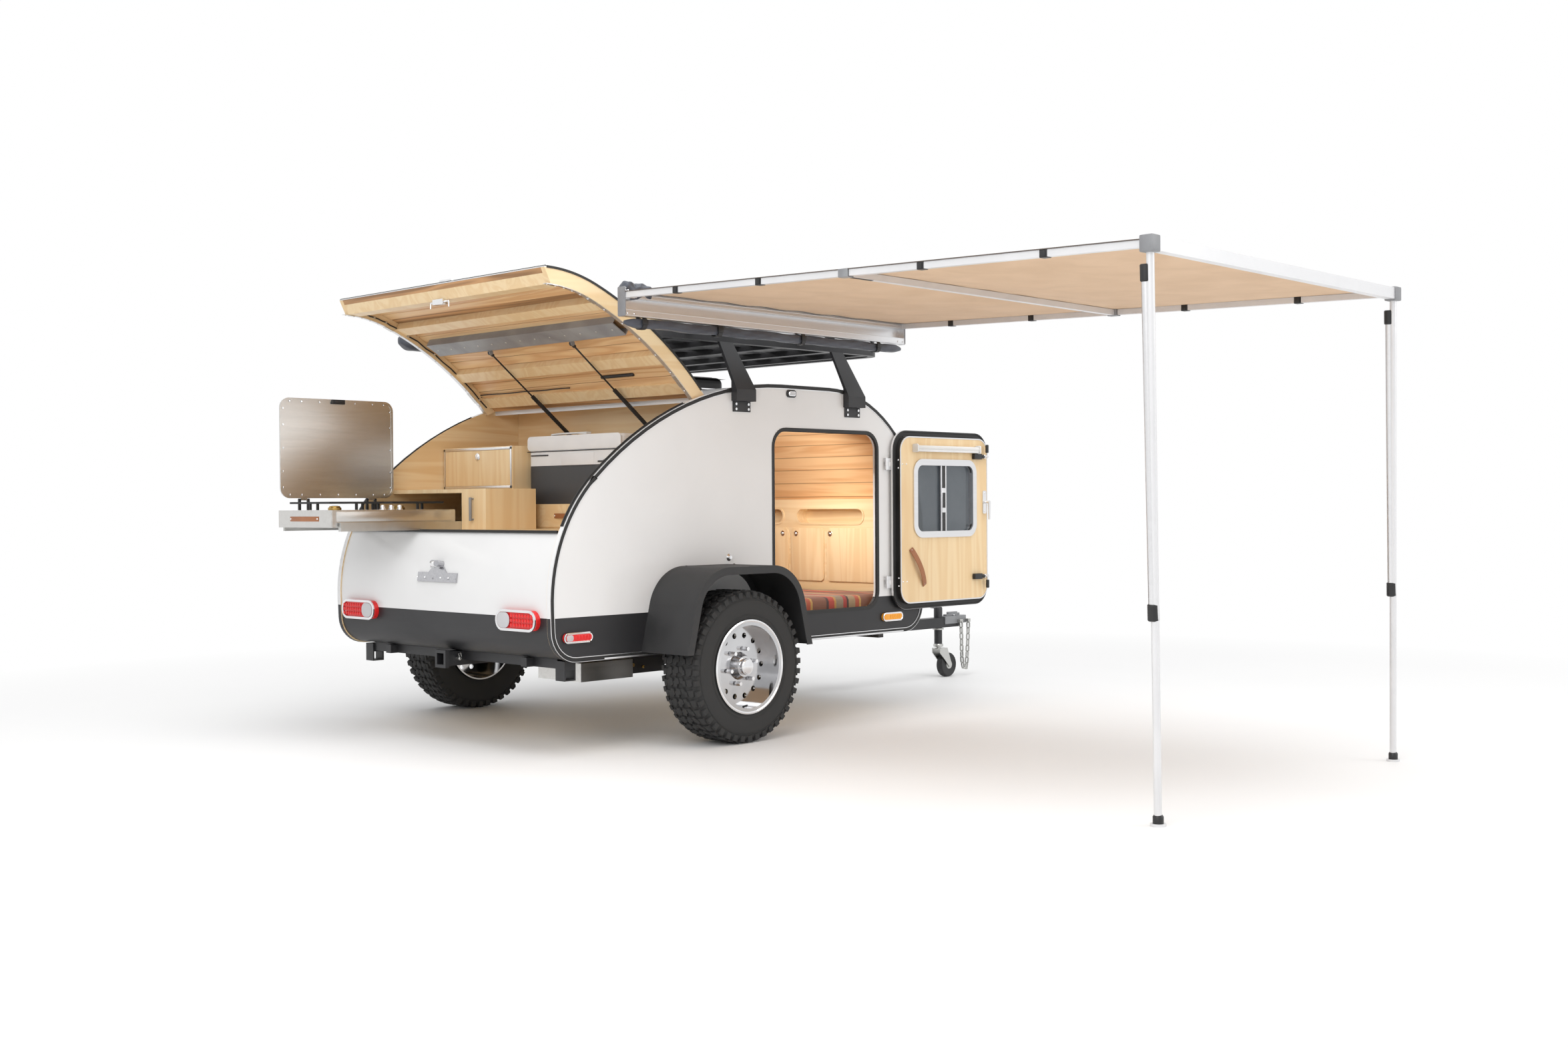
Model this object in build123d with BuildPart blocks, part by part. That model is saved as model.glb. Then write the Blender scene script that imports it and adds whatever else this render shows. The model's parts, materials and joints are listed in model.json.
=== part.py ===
"""Teardrop camping trailer with its galley hatch open, its kerb-side door open and its awning out.

Millimetres. Drawn with x forward from the axle line, y to the left and z up from the ground,
then moved so that the origin is the centre of the coupler's ball.
"""
from build123d import *

import math
import os

os.makedirs("parts", exist_ok=True)

# Towing end
ball_x = 2950.0
ball_z = 340.0
ball_bore_radius = 25.9
coupler_wall = 5.0
coupler_rear_x = 2750.0
coupler_skirt_z = 322.0
chain_y = 52.0
link_length = 44.0
link_width = 26.0
link_bar = 7.0

# Running gear
tyre_radius = 338.0
tyre_width = 216.0
tyre_centre_y = 988.0
tyre_shoulder_radius = 26.0
rim_seat_radius = 190.0
rim_lip_radius = 208.0
rim_lip_y = 1097.0
rim_wall = 7.0
disc_y = 1030.0
disc_thickness = 12.0
vent_hole_radius = 12.5
vent_hole_count = 14
vent_ring_radius = 137.0
hub_radius = 62.0
hub_inner_y = 985.0
hub_outer_y = 1065.0
hub_cap_radius = 36.0
hub_cap_y = 1083.0
spindle_radius = 20.0
spindle_end_y = 1058.0
running_gap = 0.3
axle_tube = 60.0
axle_forward = 130.0
arm_thickness = 26.0
arm_y = 787.0
arm_beam_radius = 40.0
arm_spindle_radius = 34.0

# Body shell
body_width = 1632.0
wall_thickness = 24.0
top_z = 1622.0
top_rear_x = 502.0
back_radius = 1720.0
back_turn = 42.0
shoulder_radius = 723.0
shoulder_turn = 50.0
tail_straight = 92.0
tail_corner_radius = 134.0
nose_radius = 720.0
front_x = 1560.0
front_corner_radius = 140.0
skin_inset = 6.0
skin_thickness = 26.0
side_gap = 0.3

# Galley hatch
hinge_x = 33.0
hatch_open = 64.0
hinge_bead = 5.0
hatch_side_gap = 5.0
hatch_bottom_z = 945.0
hatch_sheet = 4.0
rib_depth = 66.0
rib_thickness = 26.0
beam_length = 52.0
channel_turn = 33.5
channel_width = 92.0
channel_depth = 40.0
channel_wall = 4.0
channel_half_length = 705.0
spar_width = 62.0
spars = ((18.5, 12.0), (25.5, 34.0), (39.5, 34.0))

# Gas struts
strut_y = 310.0
strut_foot_x = 145.0
strut_foot_z = 1402.0
strut_eye_turn = 31.3
strut_eye_inset = 70.0
barrel_radius = 10.0
barrel_length = 310.0
barrel_back = 24.0
bore_back = 50.0
rod_radius = 4.0
rod_engaged = 165.0
eye_radius = 11.0
eye_bore_radius = 4.3
eye_half_width = 6.0
eye_pin_radius = 4.0

# Doors
door_x0 = 426.0
door_x1 = 1222.0
door_z0 = 511.0
door_z1 = 1429.0
door_corner = 105.0
opening_margin = 25.0
door_clearance = 6.0
door_flange = 10.0
door_stand_off = 5.0
door_core = 26.0
door_hinge_x = 1258.0
door_hinge_out = 14.0
door_hinge_y = body_width / 2 + door_hinge_out
knuckle_radius = 7.0
hinge_pin_radius = 3.5
knuckle_height = 19.0
knuckle_pitch = 20.0
hinge_leaf = 5.0
hinge_heights = (655.0, 1255.0)
window_width = 530.0
window_height = 406.0
window_corner = 70.0
window_z = 1080.0
window_rim = 26.0
window_rim_thickness = 7.0
window_cut_gap = 0.3
pane_thickness = 5.0

# Cabin
bulkhead_x = 180.0
bulkhead_thickness = 18.0
front_cabinet_x = 1425.0
front_cabinet_top = 1080.0
cubby_z = 990.0
cubby_height = 80.0
cubby_length = 475.0
cubby_y = 290.0
panel = 18.0
mattress_top = 600.0
mattress_front_gap = 6.0

# Galley
rear_edge_z = 938.0
counter_z = 945.0
counter_rear_x = -789.7
deck_z = 1135.0
deck_rear_x = -590.0
stove_bay_y = 218.0
face_end_y = 30.0
upper_cabinet_x = -290.0
upper_cabinet_top = 1345.0
small_cabinet_x = -300.0
cooler_x = -215.0
cooler_depth = 385.0
cooler_y0 = -490.0
cooler_y1 = 195.0
cooler_z0 = 1062.0
cooler_top = 1385.0
cooler_corner = 28.0
plinth_x = -240.0

# Stove on its slide
stove_x0 = -1262.0
stove_x1 = -612.0
stove_y0 = 240.0
stove_y1 = 700.0
stove_z0 = 962.0
stove_z1 = 1040.0
stove_wall = 12.0
grate_top = 1078.0
slide_z1 = 984.0
slide_front_x = -60.0
outer_slide_y = 713.0
burner_radius = 100.0
burner_hub_radius = 40.0
grate_bar = 9.0
lid_x0 = -1250.0
lid_x1 = -650.0
lid_height = 462.0
lid_thickness = 9.0
lid_hinge_z = 1090.0
lid_knuckle_radius = 4.5
lid_knuckle_width = 32.0
lid_knuckle_inset = 120.0
lid_corner = 45.0

# Chassis
floor_thickness = 26.0
floor_rear_x = -700.0
floor_front_x = 1429.7
frame_tube = 40.0
tongue_tube = 60.0
tongue_rear_x = 175.0
tongue_front_x = 2895.0
cross_half = 700.0
rail_y = 520.0
frame_front_x = 1400.0
frame_rear_x = -800.0
cross_x = (-740.0, 280.0, 1360.0)
receiver_size = 64.0
receiver_bore = 51.0
receiver_collar = 80.0
receiver_rear_x = -868.0
receiver_length = 240.0
socket_bottom_z = 312.0
socket_size = 60.0

# Mudguards
guard_half_length = 390.0
guard_bottom_z = 414.0
guard_top_z = 782.0
guard_top_half = 300.0
guard_corner = 210.0
guard_outer_y = 1114.0
guard_wall = 5.0
guard_skirt = 34.0

# Jockey wheel
jack_x = 2724.0
jack_radius = 24.0
jack_bottom_z = 186.0
caster_radius = 73.0
caster_x = 2802.0
caster_width = 44.0
fork_plate = 6.0
swivel_pin_radius = 12.0
swivel_pin_length = 30.0
fork_gap = 5.0
fork_wall = 5.0
fork_top_z = 178.0
caster_axle_radius = 7.0

# Roof rack
rack_x0 = -205.0
rack_x1 = 1350.0
rack_half_width = 740.0
rack_z = 1846.0
rack_rail = 38.0
rack_corner = 110.0
slat_width = 130.0
slat_count = 7
slat_thickness = 14.0
rack_cross_x = (-60.0, 280.0, 620.0, 960.0, 1240.0)
leg_x = (235.0, 1010.0)
leg_foot_width = 126.0
leg_top_width = 84.0
leg_foot_z = 1530.0
leg_foot_top_z = 1584.0
leg_foot_depth = 36.0
leg_plate = 5.0
leg_plate_bottom_z = 1482.0
leg_plate_width = 112.0
case_bracket_x = (-20.0, 720.0)
case_bracket_half = 30.0
case_bracket_plate = 9.0
case_bracket_drop = 1.0
case_bracket_rise = 90.0
case_bracket_lap = 6.0

# Awning
awning_x0 = -612.0
awning_x1 = 1225.0
case_y = -960.0
case_depth = 44.0
case_z0 = 1846.0
case_height = 122.0
awning_arm = 24.0
arm_house_z = 1934.0
arm_rail_z = 1866.0
rail_y_out = -3475.0
front_rail_height = 44.0
front_rail_depth = 34.0
canvas_thickness = 3.0
pole_radius = 13.0
pole_foot_shift = 152.0
bag_height = 46.0
arm_inset = 14.0
spreader_y = -2200.0
stowed_x0 = -440.0
stowed_x1 = 1160.0
stowed_y = 960.0
stowed_width = 110.0
stowed_z0 = 1850.0
stowed_height = 104.0

# Roof vent
vent_x0 = 440.0
vent_x1 = 764.0
vent_half = 170.0
vent_top_z = 1702.0

# Lamps and plate holder
lamp_y = 607.0
lamp_length = 268.0
lamp_height = 86.0
lamp_depth = 24.0
marker_length = 152.0
marker_height = 40.0
marker_depth = 14.0
rear_marker_x = -748.0
rear_marker_z = 500.0
front_marker_x = 1306.0
front_marker_z = 479.0
plate_z = 737.0
plate_width = 298.0
plate_height = 42.0
plate_depth = 14.0
plate_lamp_z = 797.0
plate_lamp_width = 70.0
plate_lamp_height = 28.0
plate_lamp_depth = 30.0

# Boxes under the floor
steel_box = ((-550.0, -600.0, 280.0), (-250.0, -300.0, 361.9))
valve_box = ((-235.0, -560.0, 290.0), (-20.0, -330.0, 361.9))

half_width = body_width / 2
inner_half = half_width - wall_thickness
to_ball = Location((-ball_x, 0, -ball_z))


def keep(piece, name):
    """Label a finished piece, move its origin to the coupler's ball and write it."""
    placed = piece.moved(to_ball)
    placed.label = name
    export_step(placed, f"parts/{name}.step")


def keep_pair(piece, name):
    """Write a kerb-side piece and its mirror image on the other side."""
    keep(piece, f"{name}_right")
    keep(piece.mirror(Plane.XZ), f"{name}_left")


# Side outline of the body: flat roof, long back arc, shoulder arc, lower corners and round nose
with BuildSketch() as outline:
    with BuildLine():
        roof = Line((front_x - nose_radius, top_z), (top_rear_x, top_z))
        back = JernArc(roof @ 1, roof % 1, back_radius, back_turn)
        shoulder = JernArc(back @ 1, back % 1, shoulder_radius, shoulder_turn)
        tail = Line(shoulder @ 1, shoulder @ 1 + (shoulder % 1) * tail_straight)
        tail_corner = JernArc(tail @ 1, tail % 1, tail_corner_radius, 180 - back_turn - shoulder_turn)
        sole = Line(tail_corner @ 1, (front_x - front_corner_radius, (tail_corner @ 1).Y))
        front_corner = JernArc(sole @ 1, (1, 0), front_corner_radius, 90)
        front = Line(front_corner @ 1, (front_x, top_z - nose_radius))
        nose = JernArc(front @ 1, (0, 1), nose_radius, 90)
    make_face()

sole_z = (tail_corner @ 1).Y
floor_z = sole_z + skin_inset
back_centre = Vector(top_rear_x, top_z - back_radius)


def inset_outline(distance):
    """The side outline, drawn in by a distance."""
    return offset(outline.sketch, amount=-distance, mode=Mode.PRIVATE)


def back_point(turn, depth):
    """A point in the side view under the long back arc, by its turn from the top and its depth."""
    angle = math.radians(turn)
    radius = back_radius - depth
    return Vector(back_centre.X - radius * math.sin(angle), back_centre.Y + radius * math.cos(angle))


def back_plane(turn, depth):
    """A plane across the body on the back arc: its x runs rearward along the arc and its y inward."""
    spot = back_point(turn, depth)
    angle = math.radians(turn)
    along = (-math.cos(angle), 0, -math.sin(angle))
    return Plane(origin=(spot.X, 0, spot.Y), x_dir=along, z_dir=(0, -1, 0))


def band(outer, inner, mask, half):
    """A strip of shell between two insets, inside a mask, across the body."""
    outer_face = inset_outline(outer)
    inner_face = inset_outline(inner)
    with BuildPart() as strip:
        with BuildSketch(Plane.XZ.offset(-half)):
            add(outer_face)
            add(inner_face, mode=Mode.SUBTRACT)
            with BuildLine():
                Polyline(*mask, close=True)
            make_face(mode=Mode.INTERSECT)
        extrude(amount=2 * half)
    return strip.part


skin_half = inner_half - side_gap
roof_mask = ((hinge_x, 1000), (hinge_x, 2000), (2000, 2000), (2000, 300), (1430, 300), (1430, 1000))
rear_mask = ((-1000, 300), (-1000, rear_edge_z), (-600, rear_edge_z), (-600, 500), (-700, 500), (-700, 300))
hatch_mask = (
    (hinge_x - hinge_bead - side_gap, 2000),
    (-1200, 2000),
    (-1200, hatch_bottom_z),
    (-640, hatch_bottom_z),
    (hinge_x - hinge_bead - side_gap, 1430),
)
hinge_turn = math.degrees(math.asin((top_rear_x - hinge_x) / (back_radius - skin_inset)))
hinge_z = back_point(hinge_turn, skin_inset).Y
hatch_axis = Axis((hinge_x, 0, hinge_z), (0, 1, 0))

def board(x0, x1, y0, y1, z0, z1, mode=Mode.ADD):
    """A rectangular board between two corners, put into the part being built."""
    with Locations(((x0 + x1) / 2, (y0 + y1) / 2, (z0 + z1) / 2)):
        Box(x1 - x0, y1 - y0, z1 - z0, mode=mode)


# Side walls with their door openings, hinge knuckles and pins
opening_width = door_x1 - door_x0 - 2 * opening_margin
opening_height = door_z1 - door_z0 - 2 * opening_margin
opening_radius = door_corner - opening_margin
door_mid_x = (door_x0 + door_x1) / 2
door_mid_z = (door_z0 + door_z1) / 2
with BuildPart() as side_wall:
    with BuildSketch(Plane.XZ.offset(inner_half)):
        add(outline.sketch)
        with Locations((door_mid_x, door_mid_z)):
            RectangleRounded(opening_width, opening_height, opening_radius, mode=Mode.SUBTRACT)
    extrude(amount=wall_thickness)
    for height in hinge_heights:
        for start in (height - 1.5 * knuckle_pitch, height + 0.5 * knuckle_pitch + 0.5):
            with BuildSketch(Plane.XY.offset(start)):
                with Locations((door_hinge_x + 20, -half_width - hinge_leaf / 2)):
                    Rectangle(40, hinge_leaf)
                with Locations((door_hinge_x + 3, -half_width - hinge_leaf - 2)):
                    Rectangle(6, 8)
                with Locations((door_hinge_x, -door_hinge_y)):
                    Circle(knuckle_radius)
            extrude(amount=knuckle_pitch - 0.5)
        with BuildSketch(Plane.XY.offset(height - 1.5 * knuckle_pitch)):
            with Locations((door_hinge_x, -door_hinge_y)):
                Circle(hinge_pin_radius)
        extrude(amount=3 * knuckle_pitch)
keep_pair(side_wall.part, "side_wall")

# Roof and nose skin with its lining and the bead that the hatch turns on
hatch_half = inner_half - hatch_side_gap
roof_band = band(skin_inset, skin_inset + skin_thickness, roof_mask, skin_half)
with BuildPart() as roof_and_nose:
    add(roof_band)
    with BuildSketch(Plane.XZ.offset(-hatch_half)):
        with Locations((hinge_x, hinge_z)):
            Circle(hinge_bead)
    extrude(amount=2 * hatch_half)
keep(roof_and_nose.part, "roof_and_nose")
keep(band(skin_inset, skin_inset + skin_thickness, rear_mask, skin_half), "rear_skin")

with BuildPart() as floor_deck:
    board(floor_rear_x, floor_front_x, -skin_half, skin_half, floor_z, floor_z + floor_thickness)
keep(floor_deck.part, "floor_deck")

# Bulkhead between the galley and the cabin, with the two gas strut brackets
lining_inset = skin_inset + skin_thickness + side_gap
deck_top_z = floor_z + floor_thickness + side_gap
inner_face = inset_outline(lining_inset)
with BuildPart() as bulkhead:
    with BuildSketch(Plane.XZ.offset(-skin_half)):
        add(inner_face)
        with Locations((bulkhead_x + bulkhead_thickness / 2, (top_z + deck_top_z) / 2)):
            Rectangle(bulkhead_thickness, top_z - deck_top_z, mode=Mode.INTERSECT)
    extrude(amount=2 * skin_half)
    for side in (-1, 1):
        with BuildSketch(Plane.XZ.offset(side * strut_y - 14)):
            with Locations((bulkhead_x - 5, strut_foot_z)):
                Rectangle(10, 34)
        extrude(amount=28)
        with BuildSketch(Plane.XZ.offset(side * strut_y - eye_half_width - 5)):
            with Locations((strut_foot_x + 14, strut_foot_z)):
                Rectangle(28, 20)
            with Locations((strut_foot_x, strut_foot_z)):
                Circle(10)
        extrude(amount=4)
        with BuildSketch(Plane.XZ.offset(side * strut_y - eye_half_width - 5)):
            with Locations((strut_foot_x, strut_foot_z)):
                Circle(eye_pin_radius)
        extrude(amount=2 * eye_half_width + 5)
keep(bulkhead.part, "bulkhead")

# Galley counter
cabinet_front = bulkhead_x - side_gap
with BuildPart() as galley_counter:
    board(counter_rear_x, cabinet_front, -skin_half, skin_half, counter_z - panel, counter_z)
keep(galley_counter.part, "galley_counter")

# Galley cabinet: shelf over the stove bay, divider, small cupboard and upper locker
bay_z = counter_z + side_gap
shelf_z = deck_z - panel
locker_y = stove_bay_y + 2
with BuildPart() as galley_cabinet:
    board(deck_rear_x, cabinet_front, stove_bay_y - panel, skin_half, shelf_z, deck_z)
    board(deck_rear_x, small_cabinet_x, face_end_y, stove_bay_y - panel, shelf_z, deck_z)
    board(deck_rear_x, cabinet_front, stove_bay_y - panel, stove_bay_y, bay_z, shelf_z)
    board(deck_rear_x, deck_rear_x + panel, face_end_y, stove_bay_y - panel, bay_z, shelf_z)
    board(deck_rear_x + panel, small_cabinet_x, face_end_y, face_end_y + panel, bay_z, shelf_z)
    board(small_cabinet_x - panel, small_cabinet_x, face_end_y + panel, stove_bay_y - panel, bay_z, shelf_z)
    board(upper_cabinet_x, cabinet_front, locker_y, locker_y + panel, deck_z, upper_cabinet_top)
    board(upper_cabinet_x, cabinet_front, skin_half - panel, skin_half, deck_z, upper_cabinet_top)
    board(
        upper_cabinet_x,
        cabinet_front,
        locker_y + panel,
        skin_half - panel,
        upper_cabinet_top - panel,
        upper_cabinet_top,
    )
    board(
        upper_cabinet_x,
        upper_cabinet_x + panel,
        locker_y + panel,
        skin_half - panel,
        deck_z,
        upper_cabinet_top - panel,
    )
keep(galley_cabinet.part, "galley_cabinet")

with BuildPart() as cooler_drawer:
    board(
        plinth_x,
        cabinet_front,
        cooler_y0 - 10,
        stove_bay_y - panel - side_gap,
        bay_z,
        cooler_z0 - side_gap,
    )
keep(cooler_drawer.part, "cooler_drawer")

# Portable cooler with rounded corners
with BuildPart() as cooler:
    with BuildSketch(Plane.XY.offset(cooler_z0)):
        with Locations((cooler_x + cooler_depth / 2, (cooler_y0 + cooler_y1) / 2)):
            RectangleRounded(cooler_depth, cooler_y1 - cooler_y0, cooler_corner)
    extrude(amount=cooler_top - cooler_z0)
    fillet(cooler.faces().sort_by(Axis.Z)[-1].edges(), cooler_corner / 2)
keep(cooler.part, "cooler")

# Stove: its case with two burner bowls, the grates and the hinge posts of the lid
stove_mid_y = (stove_y0 + stove_y1) / 2
burner_step = (stove_x1 - stove_x0) / 2
lid_y = stove_y1 + lid_thickness / 2
lid_knuckles = (lid_x0 + lid_knuckle_inset, lid_x1 - lid_knuckle_inset)
with BuildPart() as stove:
    board(stove_x0, stove_x1, stove_y0, stove_y1, stove_z0, stove_z1)
    for index in range(2):
        spot = stove_x0 + burner_step * (index + 0.5)
        with BuildSketch(Plane.XY.offset(stove_z1 - stove_wall)):
            with Locations((spot, stove_mid_y)):
                Circle(burner_radius)
                Circle(burner_hub_radius, mode=Mode.SUBTRACT)
        extrude(amount=stove_wall, mode=Mode.SUBTRACT)
        board(spot - 140, spot + 140, stove_mid_y - 5, stove_mid_y + 5, grate_top - grate_bar, grate_top)
        board(spot - 5, spot + 5, stove_mid_y - 170, stove_mid_y + 170, grate_top - grate_bar, grate_top)
        for across in (-1, 1):
            foot_x = spot + across * 135
            foot_y = stove_mid_y + across * 165
            board(foot_x - 5, foot_x + 5, stove_mid_y - 5, stove_mid_y + 5, stove_z1 - 1, grate_top)
            board(spot - 5, spot + 5, foot_y - 5, foot_y + 5, stove_z1 - 1, grate_top)
            board(foot_x - 5, foot_x + 5, stove_mid_y - 170, stove_mid_y + 170, grate_top - grate_bar, grate_top)
            board(spot - 140, spot + 140, foot_y - 5, foot_y + 5, grate_top - grate_bar, grate_top)
    for spot in lid_knuckles:
        for start in (spot - lid_knuckle_width / 2 - 12.5, spot + lid_knuckle_width / 2 + 0.5):
            with BuildSketch(Plane.YZ.offset(start)):
                with Locations((lid_y, (stove_z1 - 40 + lid_hinge_z) / 2)):
                    Rectangle(lid_thickness, lid_hinge_z - stove_z1 + 40)
                with Locations((lid_y, lid_hinge_z)):
                    Circle(lid_knuckle_radius)
            extrude(amount=12)
keep(stove.part, "stove")

# Stove runners, joined by a tie at their front
inner_slide_y = stove_bay_y + side_gap
with BuildPart() as stove_runners:
    board(stove_x0 + 30, slide_front_x, inner_slide_y, stove_y0 - side_gap, bay_z, slide_z1)
    board(stove_x0 + 30, slide_front_x, stove_y1 + side_gap, outer_slide_y, bay_z, slide_z1)
    board(slide_front_x - 60, slide_front_x, stove_y0 - 1, stove_y1 + 1, bay_z, bay_z + 5)
keep(stove_runners.part, "stove_runners")

# Stove lid standing open, with its knuckles
with BuildPart() as stove_lid:
    with BuildSketch(Plane.XZ.offset(-stove_y1 - lid_thickness)):
        with Locations(((lid_x0 + lid_x1) / 2, lid_hinge_z + 8 + lid_height / 2)):
            RectangleRounded(lid_x1 - lid_x0, lid_height, lid_corner)
    extrude(amount=lid_thickness)
    for spot in lid_knuckles:
        with BuildSketch(Plane.YZ.offset(spot - lid_knuckle_width / 2)):
            with Locations((lid_y, lid_hinge_z)):
                Circle(lid_knuckle_radius)
            with Locations((lid_y, lid_hinge_z + 6)):
                Rectangle(5, 12)
        extrude(amount=lid_knuckle_width)
keep(stove_lid.part, "stove_lid")

# Front cabinet with two oblong cubbies, and the mattress
with BuildPart() as front_cabinet:
    with BuildSketch(Plane.XZ.offset(-skin_half)):
        add(inner_face)
        with Locations(((front_cabinet_x + front_x) / 2, (front_cabinet_top + deck_top_z) / 2)):
            Rectangle(front_x - front_cabinet_x, front_cabinet_top - deck_top_z, mode=Mode.INTERSECT)
    extrude(amount=2 * skin_half)
    with BuildSketch(Plane.YZ.offset(front_cabinet_x)):
        with Locations((-cubby_y, cubby_z), (cubby_y, cubby_z)):
            SlotOverall(cubby_length, cubby_height)
    extrude(amount=70, mode=Mode.SUBTRACT)
keep(front_cabinet.part, "front_cabinet")

with BuildPart() as mattress:
    board(
        bulkhead_x + bulkhead_thickness + mattress_front_gap,
        front_cabinet_x - mattress_front_gap,
        12 - skin_half,
        skin_half - 12,
        deck_top_z,
        mattress_top,
    )
keep(mattress.part, "mattress")


def swung(piece):
    """Swing a hatch piece, drawn shut, up to where it stands open."""
    return piece.rotate(hatch_axis, hatch_open)


# Hatch: outer sheet, boarded lining, timber frame and steel channel
sheet_inner = skin_inset + hatch_sheet
lining_outer = sheet_inner + side_gap
lining_inner = skin_inset + skin_thickness
rib_inner = sheet_inner + rib_depth
lining_half = hatch_half - rib_thickness - side_gap
keep(swung(band(skin_inset, sheet_inner, hatch_mask, hatch_half)), "hatch_sheet")
keep(swung(band(lining_outer, lining_inner, hatch_mask, lining_half)), "hatch_lining")

beam_mask = (
    (-1200, hatch_bottom_z),
    (-1200, hatch_bottom_z + beam_length),
    (-640, hatch_bottom_z + beam_length),
    (-640, hatch_bottom_z),
)
rib_outer_face = inset_outline(lining_outer)
rib_inner_face = inset_outline(rib_inner)
trailing_beam = band(lining_inner + side_gap, rib_inner, beam_mask, hatch_half - 1)
with BuildPart() as hatch_frame:
    add(trailing_beam)
    for start in (-hatch_half, hatch_half - rib_thickness):
        with BuildSketch(Plane.XZ.offset(start)):
            add(rib_outer_face)
            add(rib_inner_face, mode=Mode.SUBTRACT)
            with BuildLine():
                Polyline(*hatch_mask, close=True)
            make_face(mode=Mode.INTERSECT)
        extrude(amount=rib_thickness)
    for turn, depth in spars:
        with BuildSketch(back_plane(turn, lining_inner + side_gap)):
            with Locations((0, depth / 2)):
                Rectangle(spar_width, depth)
        extrude(amount=hatch_half - 1, both=True)
keep(swung(hatch_frame.part), "hatch_frame")

with BuildPart() as hatch_channel:
    with BuildSketch(back_plane(channel_turn, lining_inner + 3 * side_gap)):
        with Locations((0, channel_depth / 2)):
            Rectangle(channel_width, channel_depth)
        with Locations((0, channel_depth / 2 - channel_wall)):
            Rectangle(channel_width - 2 * channel_wall, channel_depth, mode=Mode.SUBTRACT)
    extrude(amount=channel_half_length, both=True)
    for side in (-1, 1):
        with BuildSketch(back_plane(strut_eye_turn, strut_eye_inset).offset(side * strut_y + eye_half_width + side_gap)):
            Circle(eye_radius)
            with Locations((11, -3)):
                Rectangle(22, 16)
        extrude(amount=4)
keep(swung(hatch_channel.part), "hatch_channel")

# Gas struts: barrel on the bulkhead's eye, rod reaching the channel's eye
eye_shut = back_point(strut_eye_turn, strut_eye_inset)
swing = math.radians(hatch_open)
eye_dx = eye_shut.X - hinge_x
eye_dz = eye_shut.Y - hinge_z
rod_eye_x = hinge_x + eye_dx * math.cos(swing) + eye_dz * math.sin(swing)
rod_eye_z = hinge_z - eye_dx * math.sin(swing) + eye_dz * math.cos(swing)
strut_length = math.hypot(rod_eye_x - strut_foot_x, rod_eye_z - strut_foot_z)
strut_dir = ((rod_eye_x - strut_foot_x) / strut_length, 0, (rod_eye_z - strut_foot_z) / strut_length)


def strut_plane(distance, y):
    """A plane square to a strut, a distance up from its foot."""
    spot = (strut_foot_x + strut_dir[0] * distance, y, strut_foot_z + strut_dir[2] * distance)
    return Plane(origin=spot, x_dir=(0, 1, 0), z_dir=strut_dir)


for side, hand in ((-1, "right"), (1, "left")):
    strut_side = side * strut_y
    with BuildPart() as barrel:
        with BuildSketch(strut_plane(barrel_back, strut_side)):
            Circle(barrel_radius)
        extrude(amount=barrel_length - barrel_back)
        with BuildSketch(strut_plane(bore_back, strut_side)):
            Circle(rod_radius + running_gap)
        extrude(amount=barrel_length - bore_back, mode=Mode.SUBTRACT)
        with BuildSketch(strut_plane(6, strut_side)):
            Rectangle(2 * eye_half_width, 14)
        extrude(amount=barrel_back - 5)
        with BuildSketch(Plane.XZ.offset(-strut_side - eye_half_width)):
            with Locations((strut_foot_x, strut_foot_z)):
                Circle(eye_radius)
        extrude(amount=2 * eye_half_width)
        with BuildSketch(Plane.XZ.offset(-strut_side - eye_half_width)):
            with Locations((strut_foot_x, strut_foot_z)):
                Circle(eye_bore_radius)
        extrude(amount=2 * eye_half_width, mode=Mode.SUBTRACT)
    keep(barrel.part, f"strut_barrel_{hand}")
    with BuildPart() as rod:
        with BuildSketch(strut_plane(barrel_length - rod_engaged, strut_side)):
            Circle(rod_radius)
        extrude(amount=strut_length - barrel_length + rod_engaged - 16)
        with BuildSketch(strut_plane(strut_length - 24, strut_side)):
            Rectangle(2 * eye_half_width, 12)
        extrude(amount=18)
        with BuildSketch(Plane.XZ.offset(-strut_side - eye_half_width)):
            with Locations((rod_eye_x, rod_eye_z)):
                Circle(eye_radius)
        extrude(amount=2 * eye_half_width)
    keep(rod.part, f"strut_rod_{hand}")

# Door, drawn shut on the kerb side, with its window hole and hinge knuckles
flange_y = half_width + door_stand_off
core_width = opening_width - 2 * door_clearance
core_height = opening_height - 2 * door_clearance
core_radius = opening_radius - door_clearance
hole_width = window_width - 2 * window_rim
hole_height = window_height - 2 * window_rim
hole_radius = window_corner - window_rim
with BuildPart() as door:
    with BuildSketch(Plane.XZ.offset(flange_y)):
        with Locations((door_mid_x, door_mid_z)):
            RectangleRounded(door_x1 - door_x0, door_z1 - door_z0, door_corner)
    extrude(amount=door_flange)
    with BuildSketch(Plane.XZ.offset(flange_y - door_core)):
        with Locations((door_mid_x, door_mid_z)):
            RectangleRounded(core_width, core_height, core_radius)
    extrude(amount=door_core)
    with BuildSketch(Plane.XZ.offset(flange_y - door_core - 2)):
        with Locations((door_mid_x, window_z)):
            RectangleRounded(hole_width, hole_height, hole_radius)
    extrude(amount=door_core + door_flange + 4, mode=Mode.SUBTRACT)
    for height in hinge_heights:
        with BuildSketch(Plane.XY.offset(height - knuckle_height / 2)):
            with Locations((door_hinge_x, -door_hinge_y)):
                Circle(knuckle_radius)
            with Locations((door_hinge_x - 24, -door_hinge_y - knuckle_radius + 3)):
                Rectangle(48, 8)
            with Locations((door_hinge_x, -door_hinge_y)):
                Circle(hinge_pin_radius + running_gap, mode=Mode.SUBTRACT)
        extrude(amount=knuckle_height)
right_hinge = Axis((door_hinge_x, -door_hinge_y, 0), (0, 0, 1))
keep(door.part.rotate(right_hinge, 180), "door_right")
keep(door.part.mirror(Plane.XZ), "door_left")

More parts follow.
